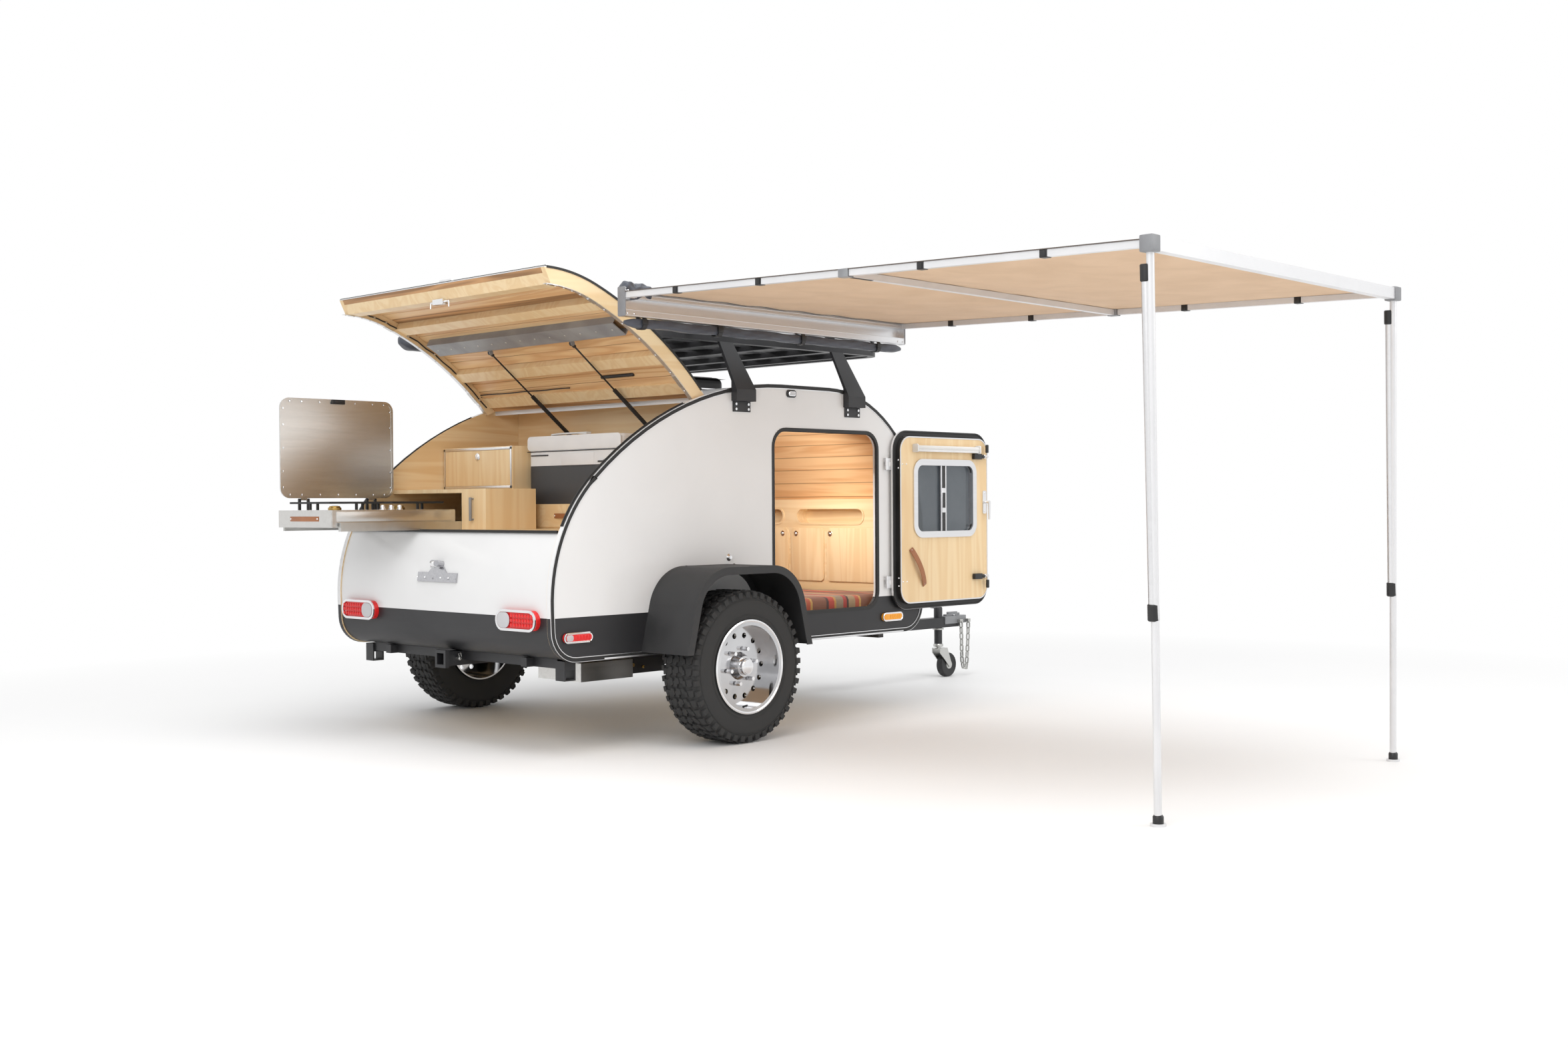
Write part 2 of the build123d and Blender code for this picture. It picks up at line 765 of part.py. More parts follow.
# Sliding window: two rims joined through the hole, a middle rail and one pane behind it
cut_width = hole_width - 2 * window_cut_gap
cut_height = hole_height - 2 * window_cut_gap
cut_radius = hole_radius - window_cut_gap
door_total = door_core + door_flange
inner_rim_y = flange_y - door_core - side_gap
pane_y = flange_y - door_core + door_total / 2
with BuildPart() as window:
    for start in (inner_rim_y - window_rim_thickness, flange_y + door_flange + side_gap):
        with BuildSketch(Plane.XZ.offset(start)):
            with Locations((door_mid_x, window_z)):
                RectangleRounded(window_width, window_height, window_corner)
                RectangleRounded(cut_width - 12, cut_height - 12, cut_radius - 6, mode=Mode.SUBTRACT)
        extrude(amount=window_rim_thickness)
    with BuildSketch(Plane.XZ.offset(inner_rim_y)):
        with Locations((door_mid_x, window_z)):
            RectangleRounded(cut_width, cut_height, cut_radius)
            RectangleRounded(cut_width - 12, cut_height - 12, cut_radius - 6, mode=Mode.SUBTRACT)
    extrude(amount=door_total + 2 * side_gap)
    with BuildSketch(Plane.XZ.offset(pane_y - 10)):
        with Locations((door_mid_x, window_z)):
            Rectangle(18, cut_height - 10)
    extrude(amount=10 - side_gap)
keep(window.part.rotate(right_hinge, 180), "window_frame_right")
keep(window.part.mirror(Plane.XZ), "window_frame_left")

with BuildPart() as pane:
    with BuildSketch(Plane.XZ.offset(pane_y)):
        with Locations((door_mid_x, window_z)):
            RectangleRounded(cut_width - 12.5, cut_height - 12.5, cut_radius - 6.2)
    extrude(amount=pane_thickness)
keep(pane.part.rotate(right_hinge, 180), "window_pane_right")
keep(pane.part.mirror(Plane.XZ), "window_pane_left")

# Chassis: rails, cross tubes, tongue and the rear receiver
frame_top = floor_z - side_gap
frame_bottom = frame_top - frame_tube
tongue_bottom = frame_bottom - tongue_tube
receiver_z = frame_top - receiver_size / 2
with BuildPart() as chassis:
    for side in (-1, 1):
        board(frame_rear_x, frame_front_x, side * rail_y - 20, side * rail_y + 20, frame_bottom, frame_top)
    for spot in cross_x:
        board(spot - 20, spot + 20, -cross_half, cross_half, frame_bottom, frame_top)
    board(tongue_rear_x, tongue_front_x, -tongue_tube / 2, tongue_tube / 2, tongue_bottom, frame_bottom)
    board(
        receiver_rear_x,
        receiver_rear_x + receiver_length,
        -receiver_size / 2,
        receiver_size / 2,
        receiver_z - receiver_size / 2,
        frame_top,
    )
    with BuildSketch(Plane.YZ.offset(receiver_rear_x)):
        with Locations((0, receiver_z)):
            Rectangle(receiver_collar, receiver_collar)
    extrude(amount=20)
    with BuildSketch(Plane.YZ.offset(receiver_rear_x)):
        with Locations((0, receiver_z)):
            Rectangle(receiver_bore, receiver_bore)
    extrude(amount=receiver_length - 20, mode=Mode.SUBTRACT)
    socket_x = cross_x[0]
    socket_half = socket_size / 2
    for start in (cross_half - 1, -cross_half - socket_size):
        board(
            socket_x - socket_half,
            socket_x + socket_half,
            start,
            start + socket_size + 1,
            socket_bottom_z,
            sole_z - side_gap,
        )
        with BuildSketch(Plane.XZ.offset(-start - socket_size - 2)):
            with Locations((socket_x, (socket_bottom_z + frame_bottom) / 2)):
                Rectangle(socket_size - 14, frame_bottom - socket_bottom_z - 12)
        extrude(amount=socket_size + 3, mode=Mode.SUBTRACT)
keep(chassis.part, "chassis")

# Coupler: a saddle over the tongue ending in the round ball socket
saddle_half = tongue_tube / 2 + side_gap
saddle_top = frame_bottom + side_gap + coupler_wall
with BuildPart() as coupler:
    with BuildSketch(Plane.XY.offset(coupler_skirt_z)):
        with BuildLine():
            Polyline(
                (coupler_rear_x, saddle_half + coupler_wall),
                (tongue_front_x, saddle_half + coupler_wall),
                (ball_x, ball_bore_radius + coupler_wall),
                (ball_x, -ball_bore_radius - coupler_wall),
                (tongue_front_x, -saddle_half - coupler_wall),
                (coupler_rear_x, -saddle_half - coupler_wall),
                close=True,
            )
        make_face()
        with Locations((ball_x, 0)):
            Circle(ball_bore_radius + coupler_wall)
    extrude(amount=saddle_top - coupler_skirt_z)
    board(
        coupler_rear_x,
        tongue_front_x + side_gap,
        -saddle_half,
        saddle_half,
        coupler_skirt_z,
        frame_bottom + side_gap,
        mode=Mode.SUBTRACT,
    )
    with BuildSketch(Plane.XY.offset(coupler_skirt_z)):
        with Locations((ball_x, 0)):
            Circle(ball_bore_radius)
    extrude(amount=saddle_top - coupler_wall - coupler_skirt_z, mode=Mode.SUBTRACT)
    with BuildSketch(Plane.XY.offset(saddle_top - 1)):
        with Locations((ball_x - 70, 0)):
            SlotOverall(96, 26)
    extrude(amount=17)
keep(coupler.part, "coupler")

# Safety chain: flat links turned by turns, hanging beside the coupler
chain_points = (
    (2882, 332),
    (2884, 296),
    (2886, 260),
    (2887, 224),
    (2888, 188),
    (2889, 152),
    (2891, 116),
    (2895, 80),
    (2906, 47),
    (2929, 42),
    (2938, 74),
    (2942, 110),
    (2945, 146),
    (2948, 182),
    (2951, 218),
    (2953, 254),
    (2955, 290),
    (2956, 324),
)
with BuildPart() as safety_chain:
    for index in range(len(chain_points) - 1):
        near_x, near_z = chain_points[index]
        far_x, far_z = chain_points[index + 1]
        run = math.hypot(far_x - near_x, far_z - near_z)
        along = ((far_x - near_x) / run, 0, (far_z - near_z) / run)
        flat = (0, 1, 0) if index % 2 else (along[2], 0, -along[0])
        middle = ((near_x + far_x) / 2, -chain_y, (near_z + far_z) / 2)
        with BuildSketch(Plane(origin=middle, x_dir=along, z_dir=flat)):
            SlotOverall(link_length, link_width)
            SlotOverall(link_length - 2 * link_bar, link_width - 2 * link_bar, mode=Mode.SUBTRACT)
        extrude(amount=link_bar / 2, both=True)
    board(2868, 2896, -chain_y - 5, -saddle_half - coupler_wall - side_gap, 326, 346)
    board(2949, 2972, -chain_y - 5, -ball_bore_radius - coupler_wall - side_gap, 326, 346)
keep(safety_chain.part, "safety_chain")

# Axle: beam under the frame, trailing arms and spindles
axle_z = frame_bottom - side_gap - axle_tube / 2
with BuildPart() as axle:
    board(
        axle_forward - axle_tube / 2,
        axle_forward + axle_tube / 2,
        -arm_y - 1,
        arm_y + 1,
        axle_z - axle_tube / 2,
        axle_z + axle_tube / 2,
    )
    for start in (arm_y, -arm_y - arm_thickness):
        with BuildSketch(Plane.XZ.offset(start)):
            with Locations((axle_forward, axle_z)):
                Circle(arm_beam_radius)
            with Locations((0, tyre_radius)):
                Circle(arm_spindle_radius)
            make_hull()
        extrude(amount=arm_thickness)
    for start in (arm_y, -spindle_end_y):
        with BuildSketch(Plane.XZ.offset(start)):
            with Locations((0, tyre_radius)):
                Circle(spindle_radius)
        extrude(amount=spindle_end_y - arm_y)
keep(axle.part, "axle")

# Wheel rim and tyre, turned about the spindle
tyre_inner_y = tyre_centre_y - tyre_width / 2
tyre_outer_y = tyre_centre_y + tyre_width / 2
spin_axis = Axis((0, 0, tyre_radius), (0, 1, 0))
rim_profile = (
    (hub_inner_y, spindle_radius + running_gap),
    (hub_inner_y, hub_radius),
    (disc_y - disc_thickness, hub_radius),
    (disc_y - disc_thickness, rim_seat_radius - rim_wall),
    (tyre_inner_y, rim_seat_radius - rim_wall),
    (tyre_inner_y, rim_seat_radius),
    (rim_lip_y - rim_wall, rim_seat_radius),
    (rim_lip_y - rim_wall, rim_lip_radius),
    (rim_lip_y, rim_lip_radius),
    (rim_lip_y, rim_seat_radius - rim_wall),
    (disc_y, rim_seat_radius - rim_wall),
    (disc_y, hub_radius),
    (hub_outer_y, hub_cap_radius + 10),
    (hub_outer_y, hub_cap_radius),
    (hub_cap_y, hub_cap_radius - 6),
    (hub_cap_y, 0),
    (spindle_end_y + running_gap, 0),
    (spindle_end_y + running_gap, spindle_radius + running_gap),
)
with BuildPart() as rim:
    with BuildSketch(Plane.YZ):
        with BuildLine():
            Polyline(*((-y, tyre_radius + r) for y, r in rim_profile), close=True)
        make_face()
    revolve(axis=spin_axis)
    with BuildSketch(Plane.XZ.offset(disc_y - disc_thickness - 1)):
        with Locations((0, tyre_radius)):
            with PolarLocations(vent_ring_radius, vent_hole_count):
                Circle(vent_hole_radius)
    extrude(amount=disc_thickness + 2, mode=Mode.SUBTRACT)
keep_pair(rim.part, "rim")

lip_inner_y = rim_lip_y - rim_wall - side_gap
tyre_section = (
    (tyre_inner_y, rim_seat_radius + side_gap),
    (tyre_inner_y, tyre_radius),
    (tyre_outer_y, tyre_radius),
    (tyre_outer_y, rim_lip_radius + 2 * rim_wall),
    (lip_inner_y, rim_lip_radius + rim_wall),
    (lip_inner_y, rim_seat_radius + side_gap),
)
with BuildPart() as tyre:
    with BuildSketch(Plane.YZ) as tyre_sketch:
        with BuildLine():
            Polyline(*((-y, tyre_radius + r) for y, r in tyre_section), close=True)
        make_face()
        fillet(tyre_sketch.vertices().group_by(Axis.Y)[-1], tyre_shoulder_radius)
    revolve(axis=spin_axis)
keep_pair(tyre.part, "tyre")

# Mudguard: a shell over the wheel, open below, with a skirt round its outer edge
guard_inner_y = half_width + side_gap
guard_slope = (guard_half_length - guard_top_half) / (guard_top_z - guard_bottom_z)
guard_drop = 120
guard_low_z = guard_bottom_z - guard_drop
guard_low_half = guard_half_length + guard_slope * guard_drop
with BuildSketch() as guard_profile:
    with BuildLine():
        Polyline(
            (-guard_low_half, guard_low_z),
            (-guard_top_half, guard_top_z),
            (guard_top_half, guard_top_z),
            (guard_low_half, guard_low_z),
            close=True,
        )
    make_face()
    fillet(guard_profile.vertices().group_by(Axis.Y)[-1], guard_corner)
guard_inside = offset(guard_profile.sketch, amount=-guard_wall, mode=Mode.PRIVATE)
guard_mouth = offset(guard_profile.sketch, amount=-guard_skirt, mode=Mode.PRIVATE)
guard_floor_z = guard_bottom_z - 200
with BuildPart() as mudguard:
    with BuildSketch(Plane.XZ.offset(guard_inner_y)):
        add(guard_profile.sketch)
        add(guard_inside, mode=Mode.SUBTRACT)
        with Locations((0, guard_floor_z + 100)):
            Rectangle(4 * guard_half_length, 200, mode=Mode.SUBTRACT)
    extrude(amount=guard_outer_y - guard_inner_y)
    with BuildSketch(Plane.XZ.offset(guard_outer_y - guard_wall)):
        add(guard_profile.sketch)
        add(guard_mouth, mode=Mode.SUBTRACT)
        with Locations((0, guard_floor_z + 100)):
            Rectangle(4 * guard_half_length, 200, mode=Mode.SUBTRACT)
    extrude(amount=guard_wall)
    with BuildSketch(Plane.XZ.offset(guard_inner_y)):
        add(guard_profile.sketch)
        add(guard_mouth, mode=Mode.SUBTRACT)
        with Locations((0, guard_floor_z + 100)):
            Rectangle(4 * guard_half_length, 200, mode=Mode.SUBTRACT)
    extrude(amount=guard_wall)
keep_pair(mudguard.part, "mudguard")

# Jockey wheel: outer tube, swivelling fork and its wheel
fork_half = caster_width / 2 + fork_gap
with BuildPart() as jack_tube:
    with BuildSketch(Plane.XY.offset(jack_bottom_z)):
        with Locations((jack_x, 0)):
            Circle(jack_radius)
    extrude(amount=tongue_bottom - side_gap - jack_bottom_z)
    with BuildSketch(Plane.XY.offset(jack_bottom_z)):
        with Locations((jack_x, 0)):
            Circle(swivel_pin_radius + running_gap)
    extrude(amount=swivel_pin_length + 10, mode=Mode.SUBTRACT)
keep(jack_tube.part, "jack_tube")

with BuildPart() as caster_fork:
    with BuildSketch(Plane.XY.offset(fork_top_z - fork_plate)):
        with Locations((jack_x, 0)):
            Circle(fork_half + fork_wall)
        with Locations((jack_x + 25, 0)):
            Rectangle(50, 2 * (fork_half + fork_wall))
    extrude(amount=fork_plate)
    with BuildSketch(Plane.XY.offset(fork_top_z - 1)):
        with Locations((jack_x, 0)):
            Circle(swivel_pin_radius)
    extrude(amount=jack_bottom_z + swivel_pin_length - fork_top_z + 1)
    for start in (fork_half, -fork_half - fork_wall):
        with BuildSketch(Plane.XZ.offset(start)):
            with Locations((jack_x + 2, fork_top_z - 14)):
                Rectangle(44, 28)
            with Locations((jack_x + 30, fork_top_z - 10)):
                Rectangle(40, 20)
            with Locations((caster_x, caster_radius)):
                Circle(14)
            make_hull()
        extrude(amount=fork_wall)
    with BuildSketch(Plane.XZ.offset(-fork_half - 1)):
        with Locations((caster_x, caster_radius)):
            Circle(caster_axle_radius)
    extrude(amount=2 * fork_half + 2)
keep(caster_fork.part, "caster_fork")

with BuildPart() as caster_wheel:
    with BuildSketch(Plane.XZ.offset(-caster_width / 2)):
        with Locations((caster_x, caster_radius)):
            Circle(caster_radius)
            Circle(caster_axle_radius + running_gap, mode=Mode.SUBTRACT)
    extrude(amount=caster_width)
    fillet(caster_wheel.edges().filter_by(GeomType.CIRCLE).sort_by(SortBy.RADIUS)[-2:], 8)
keep(caster_wheel.part, "caster_wheel")

# Roof rack: rounded platform, planks, cross bars, four legs and the awning's brackets
rack_bottom = rack_z - rack_rail
rack_mid_x = (rack_x0 + rack_x1) / 2
rack_length = rack_x1 - rack_x0
inner_span = 2 * (rack_half_width - rack_rail)
slat_pitch = (inner_span + slat_width) / (slat_count + 1)
with BuildPart() as rack_leg:
    with BuildSketch(Plane.YZ.offset(-leg_foot_width / 2)):
        with BuildLine():
            Polyline(
                (-half_width - side_gap, leg_foot_z),
                (-half_width - side_gap, top_z + side_gap),
                (-rack_half_width + 14, rack_bottom + 1),
                (-rack_half_width, rack_bottom + 1),
                (-half_width - side_gap - leg_foot_depth, leg_foot_top_z),
                (-half_width - side_gap - leg_foot_depth, leg_foot_z),
                close=True,
            )
        make_face()
    extrude(amount=leg_foot_width)
    with BuildSketch(Plane.XZ.offset(rack_half_width - 20)):
        with BuildLine():
            Polyline(
                (-leg_foot_width / 2, leg_foot_z),
                (leg_foot_width / 2, leg_foot_z),
                (leg_foot_width / 2, leg_foot_top_z),
                (leg_top_width / 2 - 26, rack_z),
                (-leg_top_width / 2 - 26, rack_z),
                (-leg_foot_width / 2, leg_foot_top_z),
                close=True,
            )
        make_face()
    extrude(amount=200, mode=Mode.INTERSECT)
    board(
        -leg_plate_width / 2,
        leg_plate_width / 2,
        -half_width - side_gap - leg_plate,
        -half_width - side_gap,
        leg_plate_bottom_z,
        leg_foot_z + 1,
    )
with BuildPart() as roof_rack:
    with BuildSketch(Plane.XY.offset(rack_bottom)):
        with Locations((rack_mid_x, 0)):
            RectangleRounded(rack_length, 2 * rack_half_width, rack_corner)
            RectangleRounded(
                rack_length - 2 * rack_rail, inner_span, rack_corner - rack_rail, mode=Mode.SUBTRACT
            )
    extrude(amount=rack_rail)
    for index in range(slat_count):
        slat_y = (index - (slat_count - 1) / 2) * slat_pitch
        board(
            rack_x0 + rack_rail - 1,
            rack_x1 - rack_rail + 1,
            slat_y - slat_width / 2,
            slat_y + slat_width / 2,
            rack_z - slat_thickness,
            rack_z,
        )
    for spot in rack_cross_x:
        board(
            spot - 20,
            spot + 20,
            1 - rack_half_width + rack_rail / 2,
            rack_half_width - rack_rail / 2 - 1,
            rack_bottom,
            rack_z - slat_thickness + 1,
        )
    for spot in leg_x:
        add(rack_leg.part.moved(Location((spot, 0, 0))))
        add(rack_leg.part.mirror(Plane.XZ).moved(Location((spot, 0, 0))))
    case_back_y = case_y + case_depth / 2 + side_gap
    bracket_top = rack_z - case_bracket_drop
    bracket_low = bracket_top - case_bracket_plate
    for spot in case_bracket_x:
        near_x = spot - case_bracket_half
        far_x = spot + case_bracket_half
        board(near_x, far_x, case_back_y, case_bracket_lap - rack_half_width, bracket_low, bracket_top)
        upright_y = case_back_y + case_bracket_plate
        board(near_x, far_x, case_back_y, upright_y, bracket_low, rack_z + case_bracket_rise)
        board(
            near_x,
            far_x,
            rack_half_width - case_bracket_lap,
            stowed_y + stowed_width / 4,
            bracket_low,
            bracket_top,
        )
keep(roof_rack.part, "roof_rack")

with BuildPart() as stowed_bag:
    with BuildSketch(Plane.YZ.offset(stowed_x0)):
        with Locations((stowed_y, bracket_top + side_gap + stowed_height / 2)):
            RectangleRounded(stowed_width, stowed_height, 38)
    extrude(amount=stowed_x1 - stowed_x0)
    fillet(stowed_bag.faces().sort_by(Axis.X)[0].edges(), 24)
    fillet(stowed_bag.faces().sort_by(Axis.X)[-1].edges(), 24)
keep(stowed_bag.part, "stowed_bag")

# Awning: case, bag under it, arms with spreader, rail and poles, and the canvas over them
case_front_y = case_y - case_depth / 2
case_top_z = case_z0 + case_height
case_bottom = rack_z + side_gap
with BuildPart() as awning_case:
    board(awning_x0, awning_x1, case_front_y, case_y + case_depth / 2, case_bottom, case_top_z)
    board(
        awning_x0 + 6,
        awning_x1 - 6,
        case_front_y - 1,
        case_y + case_depth / 2 - 6,
        case_bottom + 30,
        case_top_z - 46,
        mode=Mode.SUBTRACT,
    )
keep(awning_case.part, "awning_case")

with BuildPart() as awning_bag:
    with BuildSketch(Plane.YZ.offset(awning_x0 + 8)):
        with Locations((case_y - 6, case_bottom - side_gap - bag_height / 2)):
            RectangleRounded(case_depth - 2, bag_height, 18)
    extrude(amount=awning_x1 - awning_x0 - 16)
keep(awning_bag.part, "awning_bag")

arm_run = -rail_y_out + case_front_y
arm_drop = arm_house_z - arm_rail_z
arm_length = math.hypot(arm_run, arm_drop)
arm_dir = (0, -arm_run / arm_length, -arm_drop / arm_length)
arm_start_y = case_front_y - 2 * side_gap
spreader_z = arm_house_z - arm_drop * (case_front_y - spreader_y) / arm_run
arm_spots = (awning_x0 + arm_inset, awning_x1 - arm_inset)
with BuildPart() as awning_frame:
    for spot in arm_spots:
        with BuildSketch(Plane(origin=(spot, arm_start_y, arm_house_z), x_dir=(1, 0, 0), z_dir=arm_dir)):
            Rectangle(awning_arm, awning_arm)
        extrude(amount=arm_length)
        foot = (spot + pole_foot_shift, rail_y_out + 70, 0)
        head = (spot, rail_y_out, arm_rail_z)
        pole_vector = Vector(*foot) - Vector(*head)
        with BuildSketch(Plane(origin=head, x_dir=(0, 1, 0), z_dir=pole_vector.normalized())):
            Circle(pole_radius)
        extrude(amount=pole_vector.length - 4)
        with BuildSketch(Plane.XY):
            with Locations((foot[0], foot[1])):
                Circle(2 * pole_radius)
        extrude(amount=8)
    board(
        arm_spots[0],
        arm_spots[1],
        spreader_y - pole_radius,
        spreader_y + pole_radius,
        spreader_z - pole_radius,
        spreader_z + pole_radius - 2,
    )
    board(
        awning_x0,
        awning_x1,
        rail_y_out - front_rail_depth / 2,
        rail_y_out + front_rail_depth / 2,
        arm_rail_z - front_rail_height / 2,
        arm_rail_z + front_rail_height / 2,
    )
keep(awning_frame.part, "awning_frame")

canvas_lift = awning_arm / 2 + side_gap + 1
canvas_far_y = rail_y_out + front_rail_depth / 2 + side_gap
canvas_far_z = arm_house_z - arm_drop * (case_front_y - canvas_far_y) / arm_run + canvas_lift
with BuildPart() as awning_canvas:
    with BuildSketch(Plane.YZ.offset(awning_x0)):
        with BuildLine():
            Polyline(
                (arm_start_y, arm_house_z + canvas_lift),
                (arm_start_y, arm_house_z + canvas_lift + canvas_thickness),
                (canvas_far_y, canvas_far_z + canvas_thickness),
                (canvas_far_y, canvas_far_z),
                close=True,
            )
        make_face()
    extrude(amount=awning_x1 - awning_x0)
keep(awning_canvas.part, "awning_canvas")

# Roof vent with its domed lid
roof_skin_z = top_z - skin_inset
with BuildPart() as roof_vent:
    with BuildSketch(Plane.XY.offset(roof_skin_z + side_gap)):
        with Locations(((vent_x0 + vent_x1) / 2, 0)):
            RectangleRounded(vent_x1 - vent_x0, 2 * vent_half, 40)
    extrude(amount=vent_top_z - roof_skin_z)
    fillet(roof_vent.faces().sort_by(Axis.Z)[-1].edges(), 34)
keep(roof_vent.part, "roof_vent")

# Tail lamps on the straight of the tail, side markers and the plate bracket
tail_mid = (tail @ 0 + tail @ 1) / 2
tail_turn = math.radians(back_turn + shoulder_turn)
tail_out = Vector(-math.sin(tail_turn), 0, math.cos(tail_turn))
tail_face = Vector(tail_mid.X, 0, tail_mid.Y) - tail_out * (skin_inset - side_gap)
with BuildPart() as tail_lamp:
    with BuildSketch(Plane(origin=tail_face - Vector(0, lamp_y, 0), x_dir=(0, 1, 0), z_dir=tail_out)):
        SlotOverall(lamp_length, lamp_height)
    extrude(amount=lamp_depth)
    fillet(tail_lamp.faces().sort_by(Axis.X)[0].edges(), 6)
keep_pair(tail_lamp.part, "tail_lamp")

markers = (("side_marker_rear", rear_marker_x, rear_marker_z), ("side_marker_front", front_marker_x, front_marker_z))
for name, spot, height in markers:
    with BuildPart() as side_marker:
        with BuildSketch(Plane.XZ.offset(half_width + side_gap)):
            with Locations((spot, height)):
                SlotOverall(marker_length, marker_height)
        extrude(amount=marker_depth)
        fillet(side_marker.faces().sort_by(Axis.Y)[0].edges(), 5)
    keep_pair(side_marker.part, name)

shoulder_centre = back_point(back_turn, shoulder_radius)


def shoulder_plane(height):
    """A plane against the rear skin on the shoulder arc, at a height, its x across the body."""
    turn = math.acos((height - shoulder_centre.Y) / shoulder_radius)
    outward = Vector(-math.sin(turn), 0, math.cos(turn))
    reach = shoulder_radius - skin_inset + side_gap
    spot = Vector(shoulder_centre.X, 0, shoulder_centre.Y) + outward * reach
    return Plane(origin=spot, x_dir=(0, -1, 0), z_dir=outward)


with BuildPart() as plate_bracket:
    with BuildSketch(shoulder_plane((plate_z + plate_lamp_z) / 2)):
        with Locations((0, (plate_z - plate_lamp_z) / 2)):
            Rectangle(plate_width, plate_height)
        with BuildLine():
            Polyline((-74, -14), (-26, 30), (26, 30), (74, -14), close=True)
        make_face()
    extrude(amount=plate_depth / 2)
    with BuildSketch(shoulder_plane((plate_z + plate_lamp_z) / 2)):
        with Locations((0, (plate_lamp_z - plate_z) / 2)):
            SlotOverall(plate_lamp_width, plate_lamp_height)
    extrude(amount=plate_lamp_depth)
keep(plate_bracket.part, "plate_bracket")

# Boxes under the floor
boxes = (("under_floor_box", steel_box), ("valve_box", valve_box))
for name, (low, high) in boxes:
    with BuildPart() as small_box:
        board(low[0], high[0], low[1], high[1], low[2], high[2])
    keep(small_box.part, name)
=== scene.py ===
"""Teardrop camping trailer: finishes, fine detail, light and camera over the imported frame."""
from __future__ import annotations

import json
import logging
import math
from dataclasses import dataclass, replace
from enum import Enum
from typing import Callable, Iterable, Sequence

import bmesh
import bpy
from mathutils import Matrix, Vector

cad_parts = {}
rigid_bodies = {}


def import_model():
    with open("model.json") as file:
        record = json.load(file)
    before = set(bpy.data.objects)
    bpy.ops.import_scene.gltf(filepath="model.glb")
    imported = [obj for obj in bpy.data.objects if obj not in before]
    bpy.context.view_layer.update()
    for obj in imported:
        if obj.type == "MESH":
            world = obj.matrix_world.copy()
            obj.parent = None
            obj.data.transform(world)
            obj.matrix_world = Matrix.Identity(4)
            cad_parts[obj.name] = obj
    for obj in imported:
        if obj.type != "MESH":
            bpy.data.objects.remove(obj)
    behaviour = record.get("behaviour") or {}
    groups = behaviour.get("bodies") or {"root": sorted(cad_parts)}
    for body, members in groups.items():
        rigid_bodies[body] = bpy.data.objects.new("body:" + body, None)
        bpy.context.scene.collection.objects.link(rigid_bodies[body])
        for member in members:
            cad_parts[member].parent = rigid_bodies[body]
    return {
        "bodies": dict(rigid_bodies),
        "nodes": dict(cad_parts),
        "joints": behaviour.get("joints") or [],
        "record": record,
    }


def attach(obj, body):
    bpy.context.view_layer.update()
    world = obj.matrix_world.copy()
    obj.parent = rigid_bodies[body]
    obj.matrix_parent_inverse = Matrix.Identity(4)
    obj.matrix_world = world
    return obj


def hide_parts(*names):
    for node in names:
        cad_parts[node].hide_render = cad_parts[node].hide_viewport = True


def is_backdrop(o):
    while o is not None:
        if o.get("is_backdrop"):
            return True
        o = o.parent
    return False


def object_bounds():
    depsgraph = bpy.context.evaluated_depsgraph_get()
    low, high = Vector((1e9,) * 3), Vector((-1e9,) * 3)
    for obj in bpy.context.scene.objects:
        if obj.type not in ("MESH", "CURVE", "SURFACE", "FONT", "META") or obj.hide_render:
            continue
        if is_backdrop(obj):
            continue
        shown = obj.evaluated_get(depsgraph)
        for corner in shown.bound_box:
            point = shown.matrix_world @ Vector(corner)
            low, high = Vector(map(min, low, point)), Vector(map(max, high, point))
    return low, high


LOG = logging.getLogger("trailer")
Colour = tuple[float, float, float]
Point = Sequence[float]
Pairs = Sequence[tuple[float, float]]
Socket = bpy.types.NodeSocket
Outputs = bpy.types.NodeOutputs
BALL = Vector((2950.0, 0.0, 340.0))
SPLIT_Z = 0.245


def at(x: float, y: float, z: float) -> Vector:
    """Turn a point drawn in millimetres from the axle and the ground into the frame's metres."""
    return (Vector((x, y, z)) - BALL) / 1000


def placed(name: str, data: bpy.types.ID) -> bpy.types.Object:
    """Put new data into the scene as an object."""
    made = bpy.data.objects.new(name, data)
    bpy.context.scene.collection.objects.link(made)
    return made


def smooth(mesh: bpy.types.Mesh, crease: float) -> None:
    """Shade a mesh smooth, but for its edges above an angle in degrees."""
    mesh.polygons.foreach_set("use_smooth", [True] * len(mesh.polygons))
    mesh.set_sharp_from_angle(angle=math.radians(crease))


